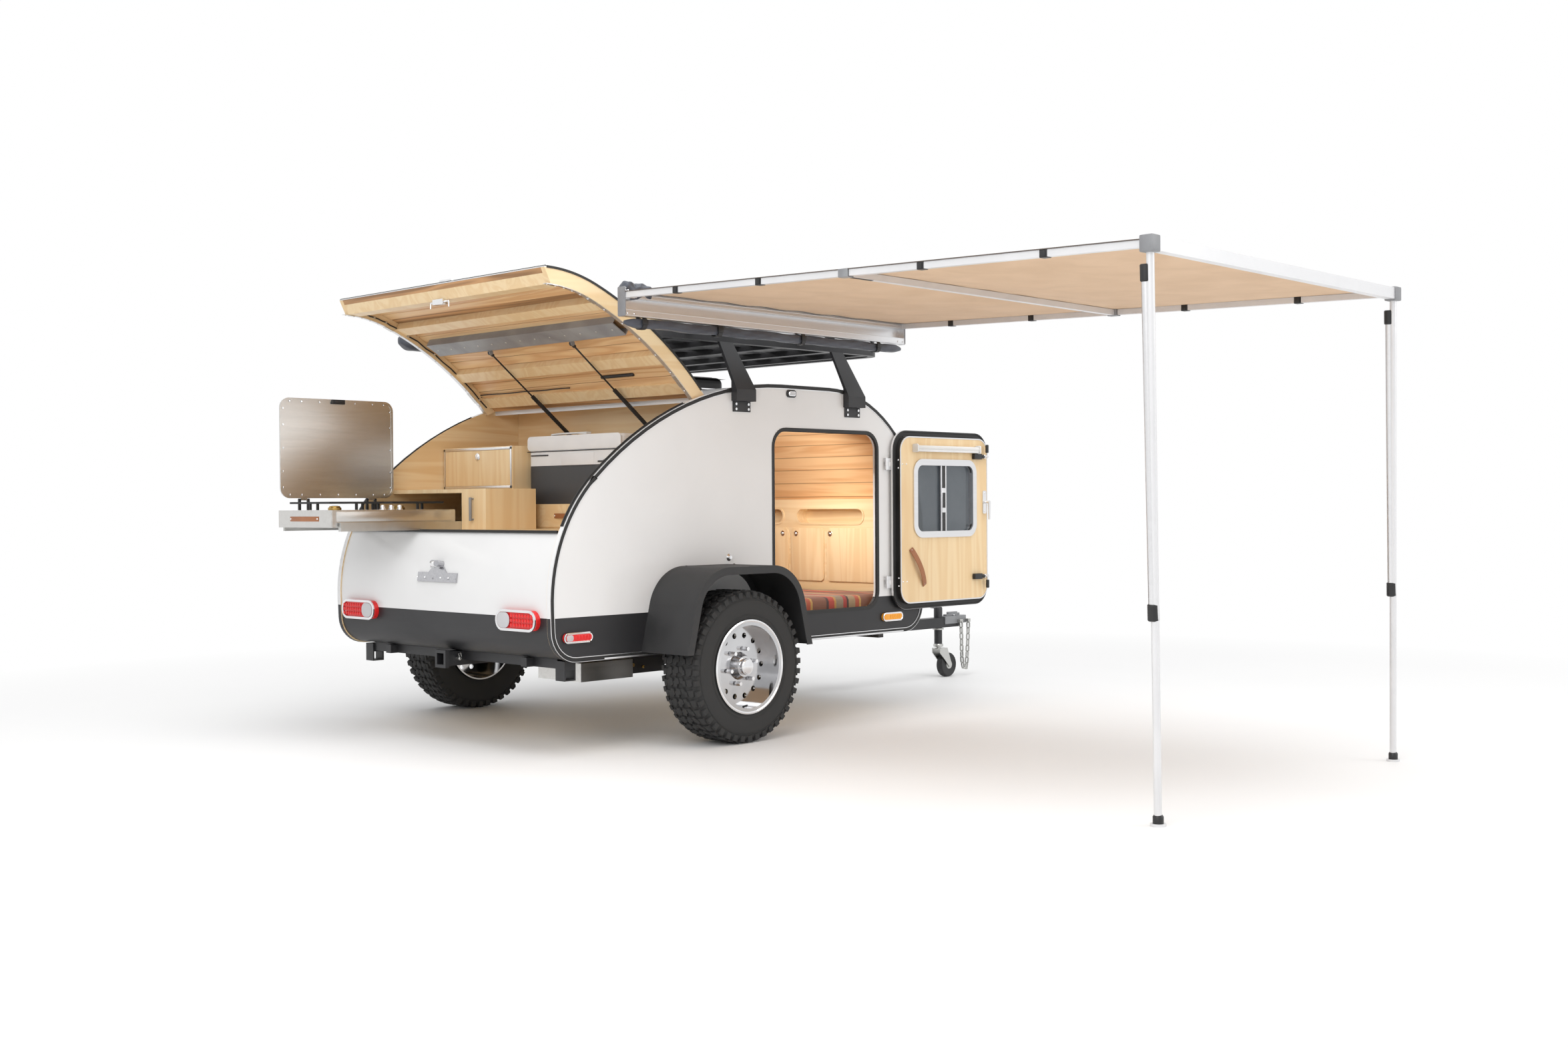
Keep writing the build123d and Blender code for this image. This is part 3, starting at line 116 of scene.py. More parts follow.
# Shader nodes
class Nodes:
    """Short calls that add nodes to one tree."""

    def __init__(self, tree: bpy.types.NodeTree) -> None:
        """Keep the tree that the calls add to."""
        self.tree = tree

    def put(self, socket: Socket, value: object) -> None:
        """Link a socket, or set its own value."""
        if isinstance(value, Socket):
            self.tree.links.new(value, socket)
        elif value is not None:
            socket.default_value = value

    def add(self, kind: str, values: dict | None = None, **settings: object) -> bpy.types.Node:
        """Add a node.

        Args:
            kind: the node's type name.
            values: inputs by name or index, each a socket or a plain value.
            settings: properties of the node.

        Returns:
            The new node.
        """
        node = self.tree.nodes.new(kind)
        for key, value in settings.items():
            setattr(node, key, value)
        for key, value in (values or {}).items():
            self.put(node.inputs[key], value)
        return node

    def place(self) -> Socket:
        """Return the object's own coordinates."""
        return self.add("ShaderNodeTexCoord").outputs["Object"]

    def mapped(self, vector: object, scale: float, way: Grain) -> Socket:
        """Scale a vector and stretch it along a grain."""
        stretch = tuple(scale * part for part in way.value)
        return self.add("ShaderNodeMapping", {"Vector": vector, "Scale": stretch}).outputs["Vector"]

    def noise(self, vector: object, scale: object, detail: float = 3.0, warp: float = 0.0) -> Socket:
        """Return a soft random value from 0 to 1."""
        values = {"Vector": vector, "Scale": scale, "Detail": detail, "Distortion": warp}
        return self.add("ShaderNodeTexNoise", values).outputs[0]

    def math(self, action: str, first: object, second: object = None, third: object = None) -> Socket:
        """Return one sum of plain values or sockets."""
        return self.add("ShaderNodeMath", {0: first, 1: second, 2: third}, operation=action).outputs[0]

    def split(self, vector: object) -> tuple[Socket, ...]:
        """Return the three parts of a vector."""
        return tuple(self.add("ShaderNodeSeparateXYZ", {0: vector}).outputs)

    def fit(self, value: object, low: float, high: float, start: float = 0.0, end: float = 1.0) -> Socket:
        """Spread a value from start and end to low and high, and clamp it."""
        values = {"Value": value, "From Min": start, "From Max": end, "To Min": low, "To Max": high}
        return self.add("ShaderNodeMapRange", values).outputs[0]

    def blend(self, mask: object, first: object, second: object) -> Socket:
        """Mix two colours by a mask."""
        wide = [tuple(c) + (1.0,) if isinstance(c, tuple) else c for c in (first, second)]
        return self.add("ShaderNodeMix", {0: mask, 6: wide[0], 7: wide[1]}, data_type="RGBA").outputs[2]

    def merge(self, mask: object, first: object, second: object) -> Socket:
        """Mix two values by a mask."""
        return self.add("ShaderNodeMix", {0: mask, 2: first, 3: second}, data_type="FLOAT").outputs[0]

    def stripes(self, factor: object, stops: Sequence[tuple[float, Colour]]) -> Socket:
        """Return a ramp of colours with hard steps."""
        node = self.add("ShaderNodeValToRGB", {0: factor})
        node.color_ramp.interpolation = "CONSTANT"
        while len(node.color_ramp.elements) < len(stops):
            node.color_ramp.elements.new(0.5)
        for element, (spot, colour) in zip(node.color_ramp.elements, stops):
            element.position = spot
            element.color = colour + (1.0,)
        return node.outputs[0]

    def group(self, tree: bpy.types.NodeTree, values: dict) -> Outputs:
        """Place a shader group and return its outputs."""
        return self.add("ShaderNodeGroup", values, node_tree=tree).outputs

    def grain(self, place: Socket, fine: float, patches: float) -> Outputs:
        """Place the grain of moulded, painted and cast surfaces."""
        return self.group(surface_grain(), {"Vector": place, "Fine": fine, "Patches": patches})

    def backdrop(self) -> Socket:
        """Return 1 for the rays that show the background: straight, mirrored or through glass."""
        path = self.add("ShaderNodeLightPath").outputs
        direct = self.math("MAXIMUM", path["Is Camera Ray"], path["Is Glossy Ray"])
        return self.math("MAXIMUM", direct, path["Is Transmission Ray"])

    def feed(self, shader: bpy.types.Node, colour: object, rough: object, height: object, relief: float,
             reach: float = 0.001) -> None:
        """Feed a shader.

        Args:
            shader: the material's shader.
            colour: its colour.
            rough: its roughness.
            height: the height that bends its surface direction.
            relief: strength of the bump.
            reach: the bump's distance.
        """
        self.put(shader.inputs["Base Color"], colour)
        self.put(shader.inputs["Roughness"], rough)
        bump = self.add("ShaderNodeBump", {"Height": height, "Strength": relief, "Distance": reach})
        self.put(shader.inputs["Normal"], bump.outputs[0])


def shader_group(**inputs: float | None) -> Callable:
    """Turn a function that adds nodes into one that returns them as a shader group, built once.

    Args:
        inputs: each input's start value, None for a vector, with its name in small letters.

    Returns:
        The decorator.
    """
    def wrap(fill: Callable[[Nodes, Outputs], dict]) -> Callable[[], bpy.types.NodeTree]:
        """Wrap one function."""
        def build() -> bpy.types.NodeTree:
            """Return the group, built on the first call."""
            tree = bpy.data.node_groups.get(fill.__name__)
            if tree is not None:
                return tree
            tree = bpy.data.node_groups.new(fill.__name__, "ShaderNodeTree")
            for label, start in inputs.items():
                kind = "NodeSocketVector" if start is None else "NodeSocketFloat"
                socket = tree.interface.new_socket(label.capitalize(), in_out="INPUT", socket_type=kind)
                if start is not None:
                    socket.default_value = start
            nodes = Nodes(tree)
            made = fill(nodes, tree.nodes.new("NodeGroupInput").outputs)
            for label in made:
                tree.interface.new_socket(label, in_out="OUTPUT", socket_type="NodeSocketFloat")
            nodes.add("NodeGroupOutput", made)
            return tree
        return build
    return wrap


@shader_group(vector=None, fine=900.0, patches=6.0)
def surface_grain(nodes: Nodes, ends: Outputs) -> dict:
    """Add moulded, painted and cast grain: speckle, patches and height."""
    speckle = nodes.noise(ends["Vector"], ends["Fine"], 2.0)
    patch = nodes.fit(nodes.noise(ends["Vector"], ends["Patches"], 4.0, 0.6), 0.0, 1.0, 0.32, 0.68)
    return {"Speckle": speckle, "Patch": patch, "Height": nodes.math("MULTIPLY_ADD", patch, 0.25, speckle)}


@shader_group(vector=None, fine=60.0, patches=2.0)
def brushed_lines(nodes: Nodes, ends: Outputs) -> dict:
    """Add drawn and brushed metal: lines, patches and height."""
    lines = nodes.noise(ends["Vector"], ends["Fine"], 3.0)
    return {"Speckle": lines, "Patch": nodes.noise(ends["Vector"], ends["Patches"], 3.0, 1.5),
            "Height": lines}


@shader_group(vector=None, rings=34.0, fibres=26.0)
def wood_figure(nodes: Nodes, ends: Outputs) -> dict:
    """Add sawn wood: broad figure, fibres and height."""
    wander = nodes.noise(ends["Vector"], 1.3, 3.0, 0.8)
    figure = nodes.fit(nodes.math("SINE", nodes.math("MULTIPLY", wander, ends["Rings"])), 0.0, 1.0, -1.0, 1.0)
    fibre = nodes.noise(ends["Vector"], ends["Fibres"], 4.0)
    return {"Figure": figure, "Fibre": fibre, "Height": nodes.math("MULTIPLY_ADD", figure, 0.3, fibre)}


@shader_group(along=0.0, width=0.08)
def board_joints(nodes: Nodes, ends: Outputs) -> dict:
    """Add tongue and groove boards: the groove's mask and a value for each board."""
    steps = nodes.math("DIVIDE", ends["Along"], ends["Width"])
    spot = nodes.math("ABSOLUTE", nodes.math("SUBTRACT", nodes.math("FRACT", steps), 0.5))
    board = nodes.add("ShaderNodeTexWhiteNoise", {"W": nodes.math("FLOOR", steps)}, noise_dimensions="1D")
    return {"Groove": nodes.fit(spot, 0.0, 1.0, 0.462, 0.488), "Board": board.outputs[0]}


@shader_group(vector=None, threads=2600.0)
def cloth_weave(nodes: Nodes, ends: Outputs) -> dict:
    """Add woven cloth: crossing threads, slubs and height."""
    waves = [nodes.math("SINE", nodes.math("MULTIPLY", part, ends["Threads"]))
             for part in nodes.split(ends["Vector"])]
    cross = nodes.math("MULTIPLY", nodes.math("ADD", waves[0], waves[2]), waves[1])
    weave = nodes.fit(cross, 0.0, 1.0, -1.5, 1.5)
    slub = nodes.noise(ends["Vector"], 160.0, 3.0)
    return {"Weave": weave, "Slub": slub, "Height": nodes.math("MULTIPLY_ADD", slub, 0.8, weave)}


class Grain(Enum):
    """The way that wood fibres or brushed lines run."""

    ALONG = (0.06, 1.0, 1.0)
    ACROSS = (1.0, 0.06, 1.0)
    UPRIGHT = (1.0, 1.0, 0.06)


# Finishes
@dataclass(frozen=True)
class Finish:
    """A moulded, painted or cast surface.

    Args:
        name: the material's name.
        slot: the record's material slot; not used.
        colour: the main colour.
        drift: the colour that patches drift towards.
        rough: lowest and highest roughness.
        metallic: 1 for bare metal.
        fine: scale of the fine texture.
        patches: scale of the patches.
        relief: strength of the bump.
        coat: weight of a clear coat.
    """

    name: str
    slot: str
    colour: Colour
    drift: Colour
    rough: tuple[float, float] = (0.35, 0.5)
    metallic: float = 0.0
    fine: float = 900.0
    patches: float = 5.0
    relief: float = 0.06
    coat: float = 0.0

    def material(self) -> bpy.types.Material:
        """Return this finish's material, built on the first call."""
        found = bpy.data.materials.get(self.name)
        if found is not None:
            return found
        made = bpy.data.materials.new(self.name)
        made.use_nodes = True
        made.diffuse_color = self.colour + (1.0,)
        shader = made.node_tree.nodes["Principled BSDF"]
        shader.inputs["Metallic"].default_value = self.metallic
        shader.inputs["Coat Weight"].default_value = self.coat
        self.dress(Nodes(made.node_tree), shader)
        return made

    def dress(self, nodes: Nodes, shader: bpy.types.Node) -> None:
        """Add the nodes that give colour, roughness and relief."""
        grain = nodes.grain(nodes.place(), self.fine, self.patches)
        colour = nodes.blend(grain["Patch"], self.colour, self.drift)
        nodes.feed(shader, colour, nodes.fit(grain["Patch"], *self.rough), grain["Height"], self.relief)


@dataclass(frozen=True)
class Brushed(Finish):
    """Metal with drawn lines.

    Args:
        way: the way that the lines run.
    """

    way: Grain = Grain.ALONG
    metallic: float = 1.0

    def lines(self, nodes: Nodes, place: Socket) -> Outputs:
        """Place the drawn lines."""
        drawn = nodes.mapped(place, 8, self.way)
        return nodes.group(brushed_lines(), {"Vector": drawn, "Fine": self.fine, "Patches": self.patches})

    def dress(self, nodes: Nodes, shader: bpy.types.Node) -> None:
        """Add long fine lines to the colour, the roughness and the relief."""
        lines = self.lines(nodes, nodes.place())
        colour = nodes.blend(lines["Patch"], self.colour, self.drift)
        nodes.feed(shader, colour, nodes.fit(lines["Speckle"], *self.rough), lines["Height"], self.relief,
                   0.0004)


@dataclass(frozen=True)
class StoveMetal(Brushed):
    """Brushed steel below a line and black cast grates above it.

    Args:
        line: height of the hob's top, in the frame's metres.
        iron: colour of the grates.
    """

    line: float = 0.7012
    iron: Colour = (0.012, 0.012, 0.013)

    def dress(self, nodes: Nodes, shader: bpy.types.Node) -> None:
        """Add the steel, and the cast iron over it."""
        place = nodes.place()
        above = nodes.math("GREATER_THAN", nodes.split(place)[2], self.line)
        lines = self.lines(nodes, place)
        cast = nodes.grain(place, 700.0, 12.0)
        steel = nodes.blend(lines["Patch"], self.colour, self.drift)
        nodes.put(shader.inputs["Metallic"], nodes.math("SUBTRACT", 1.0, above))
        rough = nodes.merge(above, nodes.fit(lines["Speckle"], *self.rough),
                            nodes.fit(cast["Speckle"], 0.45, 0.65))
        height = nodes.merge(above, lines["Height"], nodes.math("MULTIPLY", cast["Height"], 3.0))
        nodes.feed(shader, nodes.blend(above, steel, self.iron), rough, height, self.relief, 0.0004)


@dataclass(frozen=True)
class Wood(Finish):
    """Varnished wood or plywood.

    Args:
        way: the way that the fibres run.
        rings: how many bands the figure has.
        fibre: the fibres' share of the tint.
    """

    way: Grain = Grain.ALONG
    rings: float = 34.0
    fibre: float = 0.35

    def figure(self, nodes: Nodes, place: Socket) -> Outputs:
        """Place the wood's figure and its fibres."""
        moved = nodes.mapped(place, 6, self.way)
        return nodes.group(wood_figure(), {"Vector": moved, "Rings": self.rings, "Fibres": self.fine})

    def bare(self, nodes: Nodes, wood: Outputs) -> Socket:
        """Return the bare wood's colour."""
        return nodes.blend(nodes.merge(self.fibre, wood["Figure"], wood["Fibre"]), self.colour, self.drift)

    def dress(self, nodes: Nodes, shader: bpy.types.Node) -> None:
        """Add the wood's figure and its fibres."""
        wood = self.figure(nodes, nodes.place())
        rough = nodes.fit(wood["Fibre"], *self.rough)
        nodes.feed(shader, self.bare(nodes, wood), rough, wood["Height"], self.relief, 0.0005)


@dataclass(frozen=True)
class Boards(Wood):
    """Tongue and groove boards that run from side to side inside a painted roof.

    Args:
        centre: the middle of the curve that the boards follow, in the frame's metres.
        radius: that curve's radius.
        board: a board's width.
        skin: upper tone of the outer face.
        low: its lower tone.
    """

    centre: tuple[float, float] = (-2.3, 0.25)
    radius: float = 1.1
    board: float = 0.084
    skin: Colour = (0.8, 0.8, 0.8)
    low: Colour = (0.018, 0.018, 0.02)
    way: Grain = Grain.ACROSS

    def dress(self, nodes: Nodes, shader: bpy.types.Node) -> None:
        """Add boards inside and the painted skin outside."""
        place = nodes.place()
        x, _, z = nodes.split(place)
        reach_x = nodes.math("SUBTRACT", x, self.centre[0])
        reach_z = nodes.math("SUBTRACT", z, self.centre[1])
        along = nodes.math("MULTIPLY", nodes.math("ARCTAN2", reach_z, reach_x), self.radius)
        joints = nodes.group(board_joints(), {"Along": along, "Width": self.board})
        shift = nodes.add("ShaderNodeCombineXYZ",
                          {1: nodes.math("MULTIPLY", joints["Board"], 40.0)}).outputs[0]
        moved = nodes.add("ShaderNodeVectorMath", {0: place, 1: shift}, operation="ADD").outputs[0]
        wood = self.figure(nodes, moved)
        tint = nodes.math("MULTIPLY_ADD", joints["Board"], 0.5, nodes.math("MULTIPLY", wood["Figure"], 0.5))
        bare = nodes.blend(tint, self.colour, self.drift)
        bare = nodes.blend(nodes.math("MULTIPLY", joints["Groove"], 0.75), bare, GROOVE)
        facing = nodes.add("ShaderNodeTexCoord").outputs["Normal"]
        nx, _, nz = nodes.split(facing)
        outward = nodes.math("ADD", nodes.math("MULTIPLY", nx, reach_x), nodes.math("MULTIPLY", nz, reach_z))
        outside = nodes.math("GREATER_THAN", outward, 0.0)
        patch = nodes.grain(place, 260.0, 3.0)
        paint = nodes.blend(patch["Patch"], self.skin, tuple(0.94 * part for part in self.skin))
        paint = nodes.blend(nodes.math("LESS_THAN", z, SPLIT_Z), paint, self.low)
        rough = nodes.merge(outside, nodes.fit(wood["Fibre"], *self.rough),
                            nodes.fit(patch["Speckle"], 0.2, 0.3))
        inner = nodes.math("SUBTRACT", nodes.math("MULTIPLY", wood["Height"], 0.1), joints["Groove"])
        height = nodes.merge(outside, inner, nodes.math("MULTIPLY", patch["Speckle"], 0.02))
        nodes.feed(shader, nodes.blend(outside, bare, paint), rough, height, self.relief)


@dataclass(frozen=True)
class Painted(Wood):
    """Plywood whose outer sheet is painted in two tones.

    Args:
        sheet: lowest and highest distance of the painted sheet from the centre line, in metres.
        paint: the sheet's upper tone.
        low: its lower tone.
    """

    sheet: tuple[float, float] = (0.7925, 9.0)
    paint: Colour = (0.8, 0.8, 0.8)
    low: Colour = (0.018, 0.018, 0.02)

    def dress(self, nodes: Nodes, shader: bpy.types.Node) -> None:
        """Add the plywood's figure and the painted sheet."""
        place = nodes.place()
        _, y, z = nodes.split(place)
        away = nodes.math("ABSOLUTE", y)
        painted = nodes.math("MULTIPLY", nodes.math("GREATER_THAN", away, self.sheet[0]),
                             nodes.math("LESS_THAN", away, self.sheet[1]))
        lower = nodes.fit(z, 1.0, 0.0, SPLIT_Z - 0.0006, SPLIT_Z + 0.0006)
        wood = self.figure(nodes, place)
        skin = nodes.grain(place, 260.0, 2.0)
        paint = nodes.blend(skin["Patch"], self.paint, tuple(0.965 * part for part in self.paint))
        paint = nodes.blend(lower, paint, self.low)
        gloss = nodes.merge(lower, nodes.fit(skin["Speckle"], 0.14, 0.22),
                            nodes.fit(skin["Patch"], 0.4, 0.52))
        rough = nodes.merge(painted, nodes.fit(wood["Fibre"], *self.rough), gloss)
        height = nodes.merge(painted, wood["Height"], nodes.math("MULTIPLY", skin["Speckle"], 0.12))
        colour = nodes.blend(painted, self.bare(nodes, wood), paint)
        nodes.feed(shader, colour, rough, height, self.relief, 0.0005)


@dataclass(frozen=True)
class Cloth(Finish):
    """Woven or coated cloth.

    Args:
        threads: how close the threads lie.
        bands: woven stripes as shares of the repeat, or none.
        repeat: length of one repeat of the stripes, in metres.
    """

    threads: float = 2600.0
    bands: tuple[tuple[float, Colour], ...] = ()
    repeat: float = 0.4

    def dress(self, nodes: Nodes, shader: bpy.types.Node) -> None:
        """Add threads, slubs and, where there are any, woven stripes."""
        place = nodes.place()
        cloth = nodes.group(cloth_weave(), {"Vector": place, "Threads": self.threads})
        patch = nodes.grain(place, self.fine, self.patches)
        colour = nodes.blend(patch["Patch"], self.colour, self.drift)
        if self.bands:
            steps = nodes.math("FRACT", nodes.math("DIVIDE", nodes.split(place)[0], self.repeat))
            slub = nodes.math("MULTIPLY", cloth["Slub"], 0.45)
            colour = nodes.blend(slub, nodes.stripes(steps, self.bands), self.drift)
        colour = nodes.blend(nodes.math("MULTIPLY", cloth["Weave"], 0.12), colour, (0.02, 0.02, 0.02))
        nodes.feed(shader, colour, nodes.fit(cloth["Slub"], *self.rough), cloth["Height"], self.relief,
                   0.0006)
        shader.inputs["Sheen Weight"].default_value = 0.15


@dataclass(frozen=True)
class Glazed(Finish):
    """Glass or a clear moulded lens.

    Args:
        clear: share of the light that passes.
    """

    clear: float = 0.7

    def dress(self, nodes: Nodes, shader: bpy.types.Node) -> None:
        """Add faint smears to clear glass."""
        super().dress(nodes, shader)
        shader.inputs["Transmission Weight"].default_value = self.clear
        shader.inputs["IOR"].default_value = 1.45


@dataclass(frozen=True)
class CoolBox(Finish):
    """A cool box with a white upper half and a dark grey lower half.

    Args:
        line: height of the join, in the frame's metres.
        low: colour of the lower half.
    """

    line: float = 0.905
    low: Colour = (0.045, 0.047, 0.052)

    def dress(self, nodes: Nodes, shader: bpy.types.Node) -> None:
        """Add the two halves with their moulded grain."""
        place = nodes.place()
        grain = nodes.grain(place, self.fine, self.patches)
        lower = nodes.math("LESS_THAN", nodes.split(place)[2], self.line)
        colour = nodes.blend(lower, nodes.blend(grain["Patch"], self.colour, self.drift), self.low)
        nodes.feed(shader, colour, nodes.fit(grain["Speckle"], *self.rough), grain["Height"], self.relief)


BIRCH: Colour = (0.87, 0.68, 0.42)
BIRCH_DARK: Colour = (0.79, 0.56, 0.30)
CEDAR: Colour = (0.88, 0.62, 0.34)
CEDAR_DARK: Colour = (0.66, 0.36, 0.16)
GROOVE: Colour = (0.2, 0.1, 0.04)
WALL = Painted("wall_two_tone", "white_skin", BIRCH, BIRCH_DARK, (0.3, 0.42), relief=0.12, fibre=0.0)
REAR = replace(WALL, name="rear_two_tone", sheet=(-1.0, 9.0))
ROOF = Boards("roof_and_ceiling", "white_skin", CEDAR, CEDAR_DARK, (0.3, 0.45), relief=0.4)
LINING = Wood("hatch_lining_wood", "cedar", GROOVE, CEDAR_DARK, (0.4, 0.6), relief=0.2, way=Grain.ACROSS)
HATCH_SKIN = Finish("hatch_outer_skin", "hatch_skin", (0.74, 0.74, 0.74), (0.68, 0.68, 0.69), (0.2, 0.3),
                    relief=0.03)
PLY = Wood("birch_plywood", "birch_ply", BIRCH, BIRCH_DARK, (0.3, 0.42), relief=0.14)
PLY_UPRIGHT = replace(PLY, name="birch_plywood_upright", way=Grain.UPRIGHT)
PLY_ACROSS = replace(PLY, name="birch_plywood_across", way=Grain.ACROSS)
DOOR_LEFT = Painted("shut_door_wood", "birch_ply", BIRCH, BIRCH_DARK, (0.3, 0.42), relief=0.14,
                    way=Grain.UPRIGHT,
                    sheet=(0.8195, 0.9))
DOOR_RIGHT = replace(DOOR_LEFT, name="open_door_wood", sheet=(0.7, 0.8395))
POWDER = Finish("black_powder_coat", "black_steel", (0.014, 0.014, 0.016), (0.028, 0.028, 0.03), (0.38, 0.52),
                relief=0.1)
GREY_PAINT = Finish("grey_steel_paint", "grey_steel", (0.3, 0.31, 0.32), (0.2, 0.2, 0.21), (0.3, 0.45),
                    relief=0.05)
STAINLESS = Brushed("brushed_stainless", "stainless", (0.72, 0.71, 0.69), (0.55, 0.54, 0.52), (0.2, 0.36),
                    relief=0.05)
STAINLESS_UP = replace(STAINLESS, name="brushed_stainless_upright", drift=(0.58, 0.57, 0.55),
                       rough=(0.18, 0.3),
                       relief=0.04)
STOVE = StoveMetal("stove_steel_and_iron", "stainless", (0.72, 0.71, 0.69), (0.55, 0.54, 0.52), (0.2, 0.36),
                   relief=0.1)
PLATE = Brushed("polished_plate_holder", "chrome", (0.58, 0.58, 0.6), (0.42, 0.42, 0.44), (0.12, 0.22),
                relief=0.03)
ZINC = Finish("zinc_plate", "zinc", (0.62, 0.62, 0.6), (0.48, 0.48, 0.46), (0.28, 0.45), 1.0, fine=500.0,
              relief=0.06)
ALUMINIUM = Brushed("satin_aluminium", "aluminium", (0.8, 0.8, 0.81), (0.7, 0.7, 0.71), (0.26, 0.38),
                    relief=0.03)
WHITE_TUBE = Finish("white_coated_tube", "aluminium", (0.76, 0.76, 0.77), (0.7, 0.7, 0.71), (0.3, 0.42), 0.35,
                    relief=0.03)
CHROME = Finish("bright_chrome", "chrome", (0.85, 0.85, 0.86), (0.76, 0.76, 0.77), (0.05, 0.12), 1.0,
                relief=0.01)
MOULDED = Finish("black_moulded_grain", "black_plastic", (0.018, 0.018, 0.019), (0.03, 0.03, 0.031),
                 (0.5, 0.66),
                 fine=420.0, relief=0.5)
BLACK_SATIN = Finish("black_satin_plastic", "black_plastic", (0.012, 0.012, 0.013), (0.02, 0.02, 0.021),
                     (0.35, 0.48))
RUBBER = Finish("black_seal_rubber", "black_plastic", (0.01, 0.01, 0.01), (0.02, 0.02, 0.02), (0.5, 0.65),
                relief=0.1)
TYRE = Finish("tyre_rubber", "tyre_rubber", (0.018, 0.018, 0.018), (0.034, 0.033, 0.032), (0.62, 0.8),
              fine=350.0,
              relief=0.25)
RIM = Finish("polished_wheel_metal", "rim_paint", (0.6, 0.6, 0.61), (0.5, 0.5, 0.51), (0.08, 0.16), 1.0,
             relief=0.02)
COOL = CoolBox("cool_box_plastic", "cooler_plastic", (0.8, 0.8, 0.8), (0.74, 0.74, 0.75), (0.38, 0.5),
               relief=0.18)
PVC = Cloth("coated_awning_bag", "pvc", (0.045, 0.052, 0.07), (0.08, 0.09, 0.115), (0.36, 0.55), relief=0.3)
CANVAS = Cloth("awning_canvas_weave", "canvas", (0.78, 0.54, 0.34), (0.7, 0.47, 0.28), (0.7, 0.85),
               relief=0.35)
HEM = Cloth("dark_hem_tape", "canvas", (0.09, 0.07, 0.06), (0.13, 0.1, 0.08), (0.7, 0.85), relief=0.3)
STRIPES: tuple[tuple[float, Colour], ...] = (
    (0.0, (0.24, 0.1, 0.06)), (0.2, (0.04, 0.03, 0.03)), (0.25, (0.5, 0.06, 0.04)), (0.36, (0.55, 0.3, 0.07)),
    (0.4, (0.3, 0.24, 0.16)), (0.55, (0.45, 0.05, 0.04)), (0.62, (0.03, 0.025, 0.025)),
    (0.66, (0.4, 0.28, 0.15)),
    (0.8, (0.5, 0.1, 0.05)), (0.88, (0.6, 0.36, 0.1)), (0.92, (0.24, 0.1, 0.06)))
BLANKET = Cloth("striped_wool_blanket", "blanket", (0.3, 0.12, 0.07), (0.2, 0.1, 0.07), (0.8, 0.95),
                relief=0.7,
                threads=1400.0, bands=STRIPES, repeat=0.36)
TICKING = Cloth("mattress_cotton", "blanket", (0.6, 0.56, 0.5), (0.52, 0.48, 0.42), (0.75, 0.9), relief=0.3)
RED = Finish("red_lens", "red_lens", (0.6, 0.008, 0.012), (0.72, 0.02, 0.02), (0.08, 0.16), relief=0.08,
             coat=0.6)
AMBER = Finish("amber_lens", "amber_lens", (0.9, 0.28, 0.01), (0.95, 0.38, 0.03), (0.08, 0.16), relief=0.08,
               coat=0.6)
CLEAR = Glazed("clear_lens", "clear_glass", (0.82, 0.83, 0.84), (0.75, 0.76, 0.78), (0.08, 0.14), relief=0.02,
               clear=0.35)
GLASS = Glazed("tinted_window", "clear_glass", (0.16, 0.18, 0.2), (0.13, 0.15, 0.17), (0.03, 0.07),
               relief=0.005,
               clear=0.45)
CEDAR_BOARD = Wood("cedar_board", "cedar", CEDAR, CEDAR_DARK, (0.26, 0.4), relief=0.25, way=Grain.ACROSS,
                   rings=46.0)
LEATHER = Finish("tan_leather", "birch_ply", (0.38, 0.15, 0.06), (0.27, 0.1, 0.04), (0.42, 0.6), fine=700.0,
                 relief=0.4)
WHITE_MOULD = Finish("white_moulding", "cooler_plastic", (0.78, 0.78, 0.77), (0.7, 0.7, 0.69), (0.35, 0.48),
                     relief=0.05)
CANVAS_SHADE = Cloth("white_shade_cloth", "cooler_plastic", (0.76, 0.75, 0.73), (0.7, 0.69, 0.66),
                     (0.7, 0.85),
                     relief=0.2)
BRASS = Finish("gas_brass", "zinc", (0.62, 0.42, 0.14), (0.5, 0.32, 0.1), (0.22, 0.35), 1.0, relief=0.03)


# Meshes
def join_rings(mesh: bmesh.types.BMesh, rings: Sequence[Sequence[bmesh.types.BMVert]]) -> None:
    """Add the faces between rings of corners that follow each other."""
    for low, high in zip(rings, rings[1:]):
        for step in range(len(low)):
            after = (step + 1) % len(low)
            mesh.faces.new((low[step], low[after], high[after], high[step]))


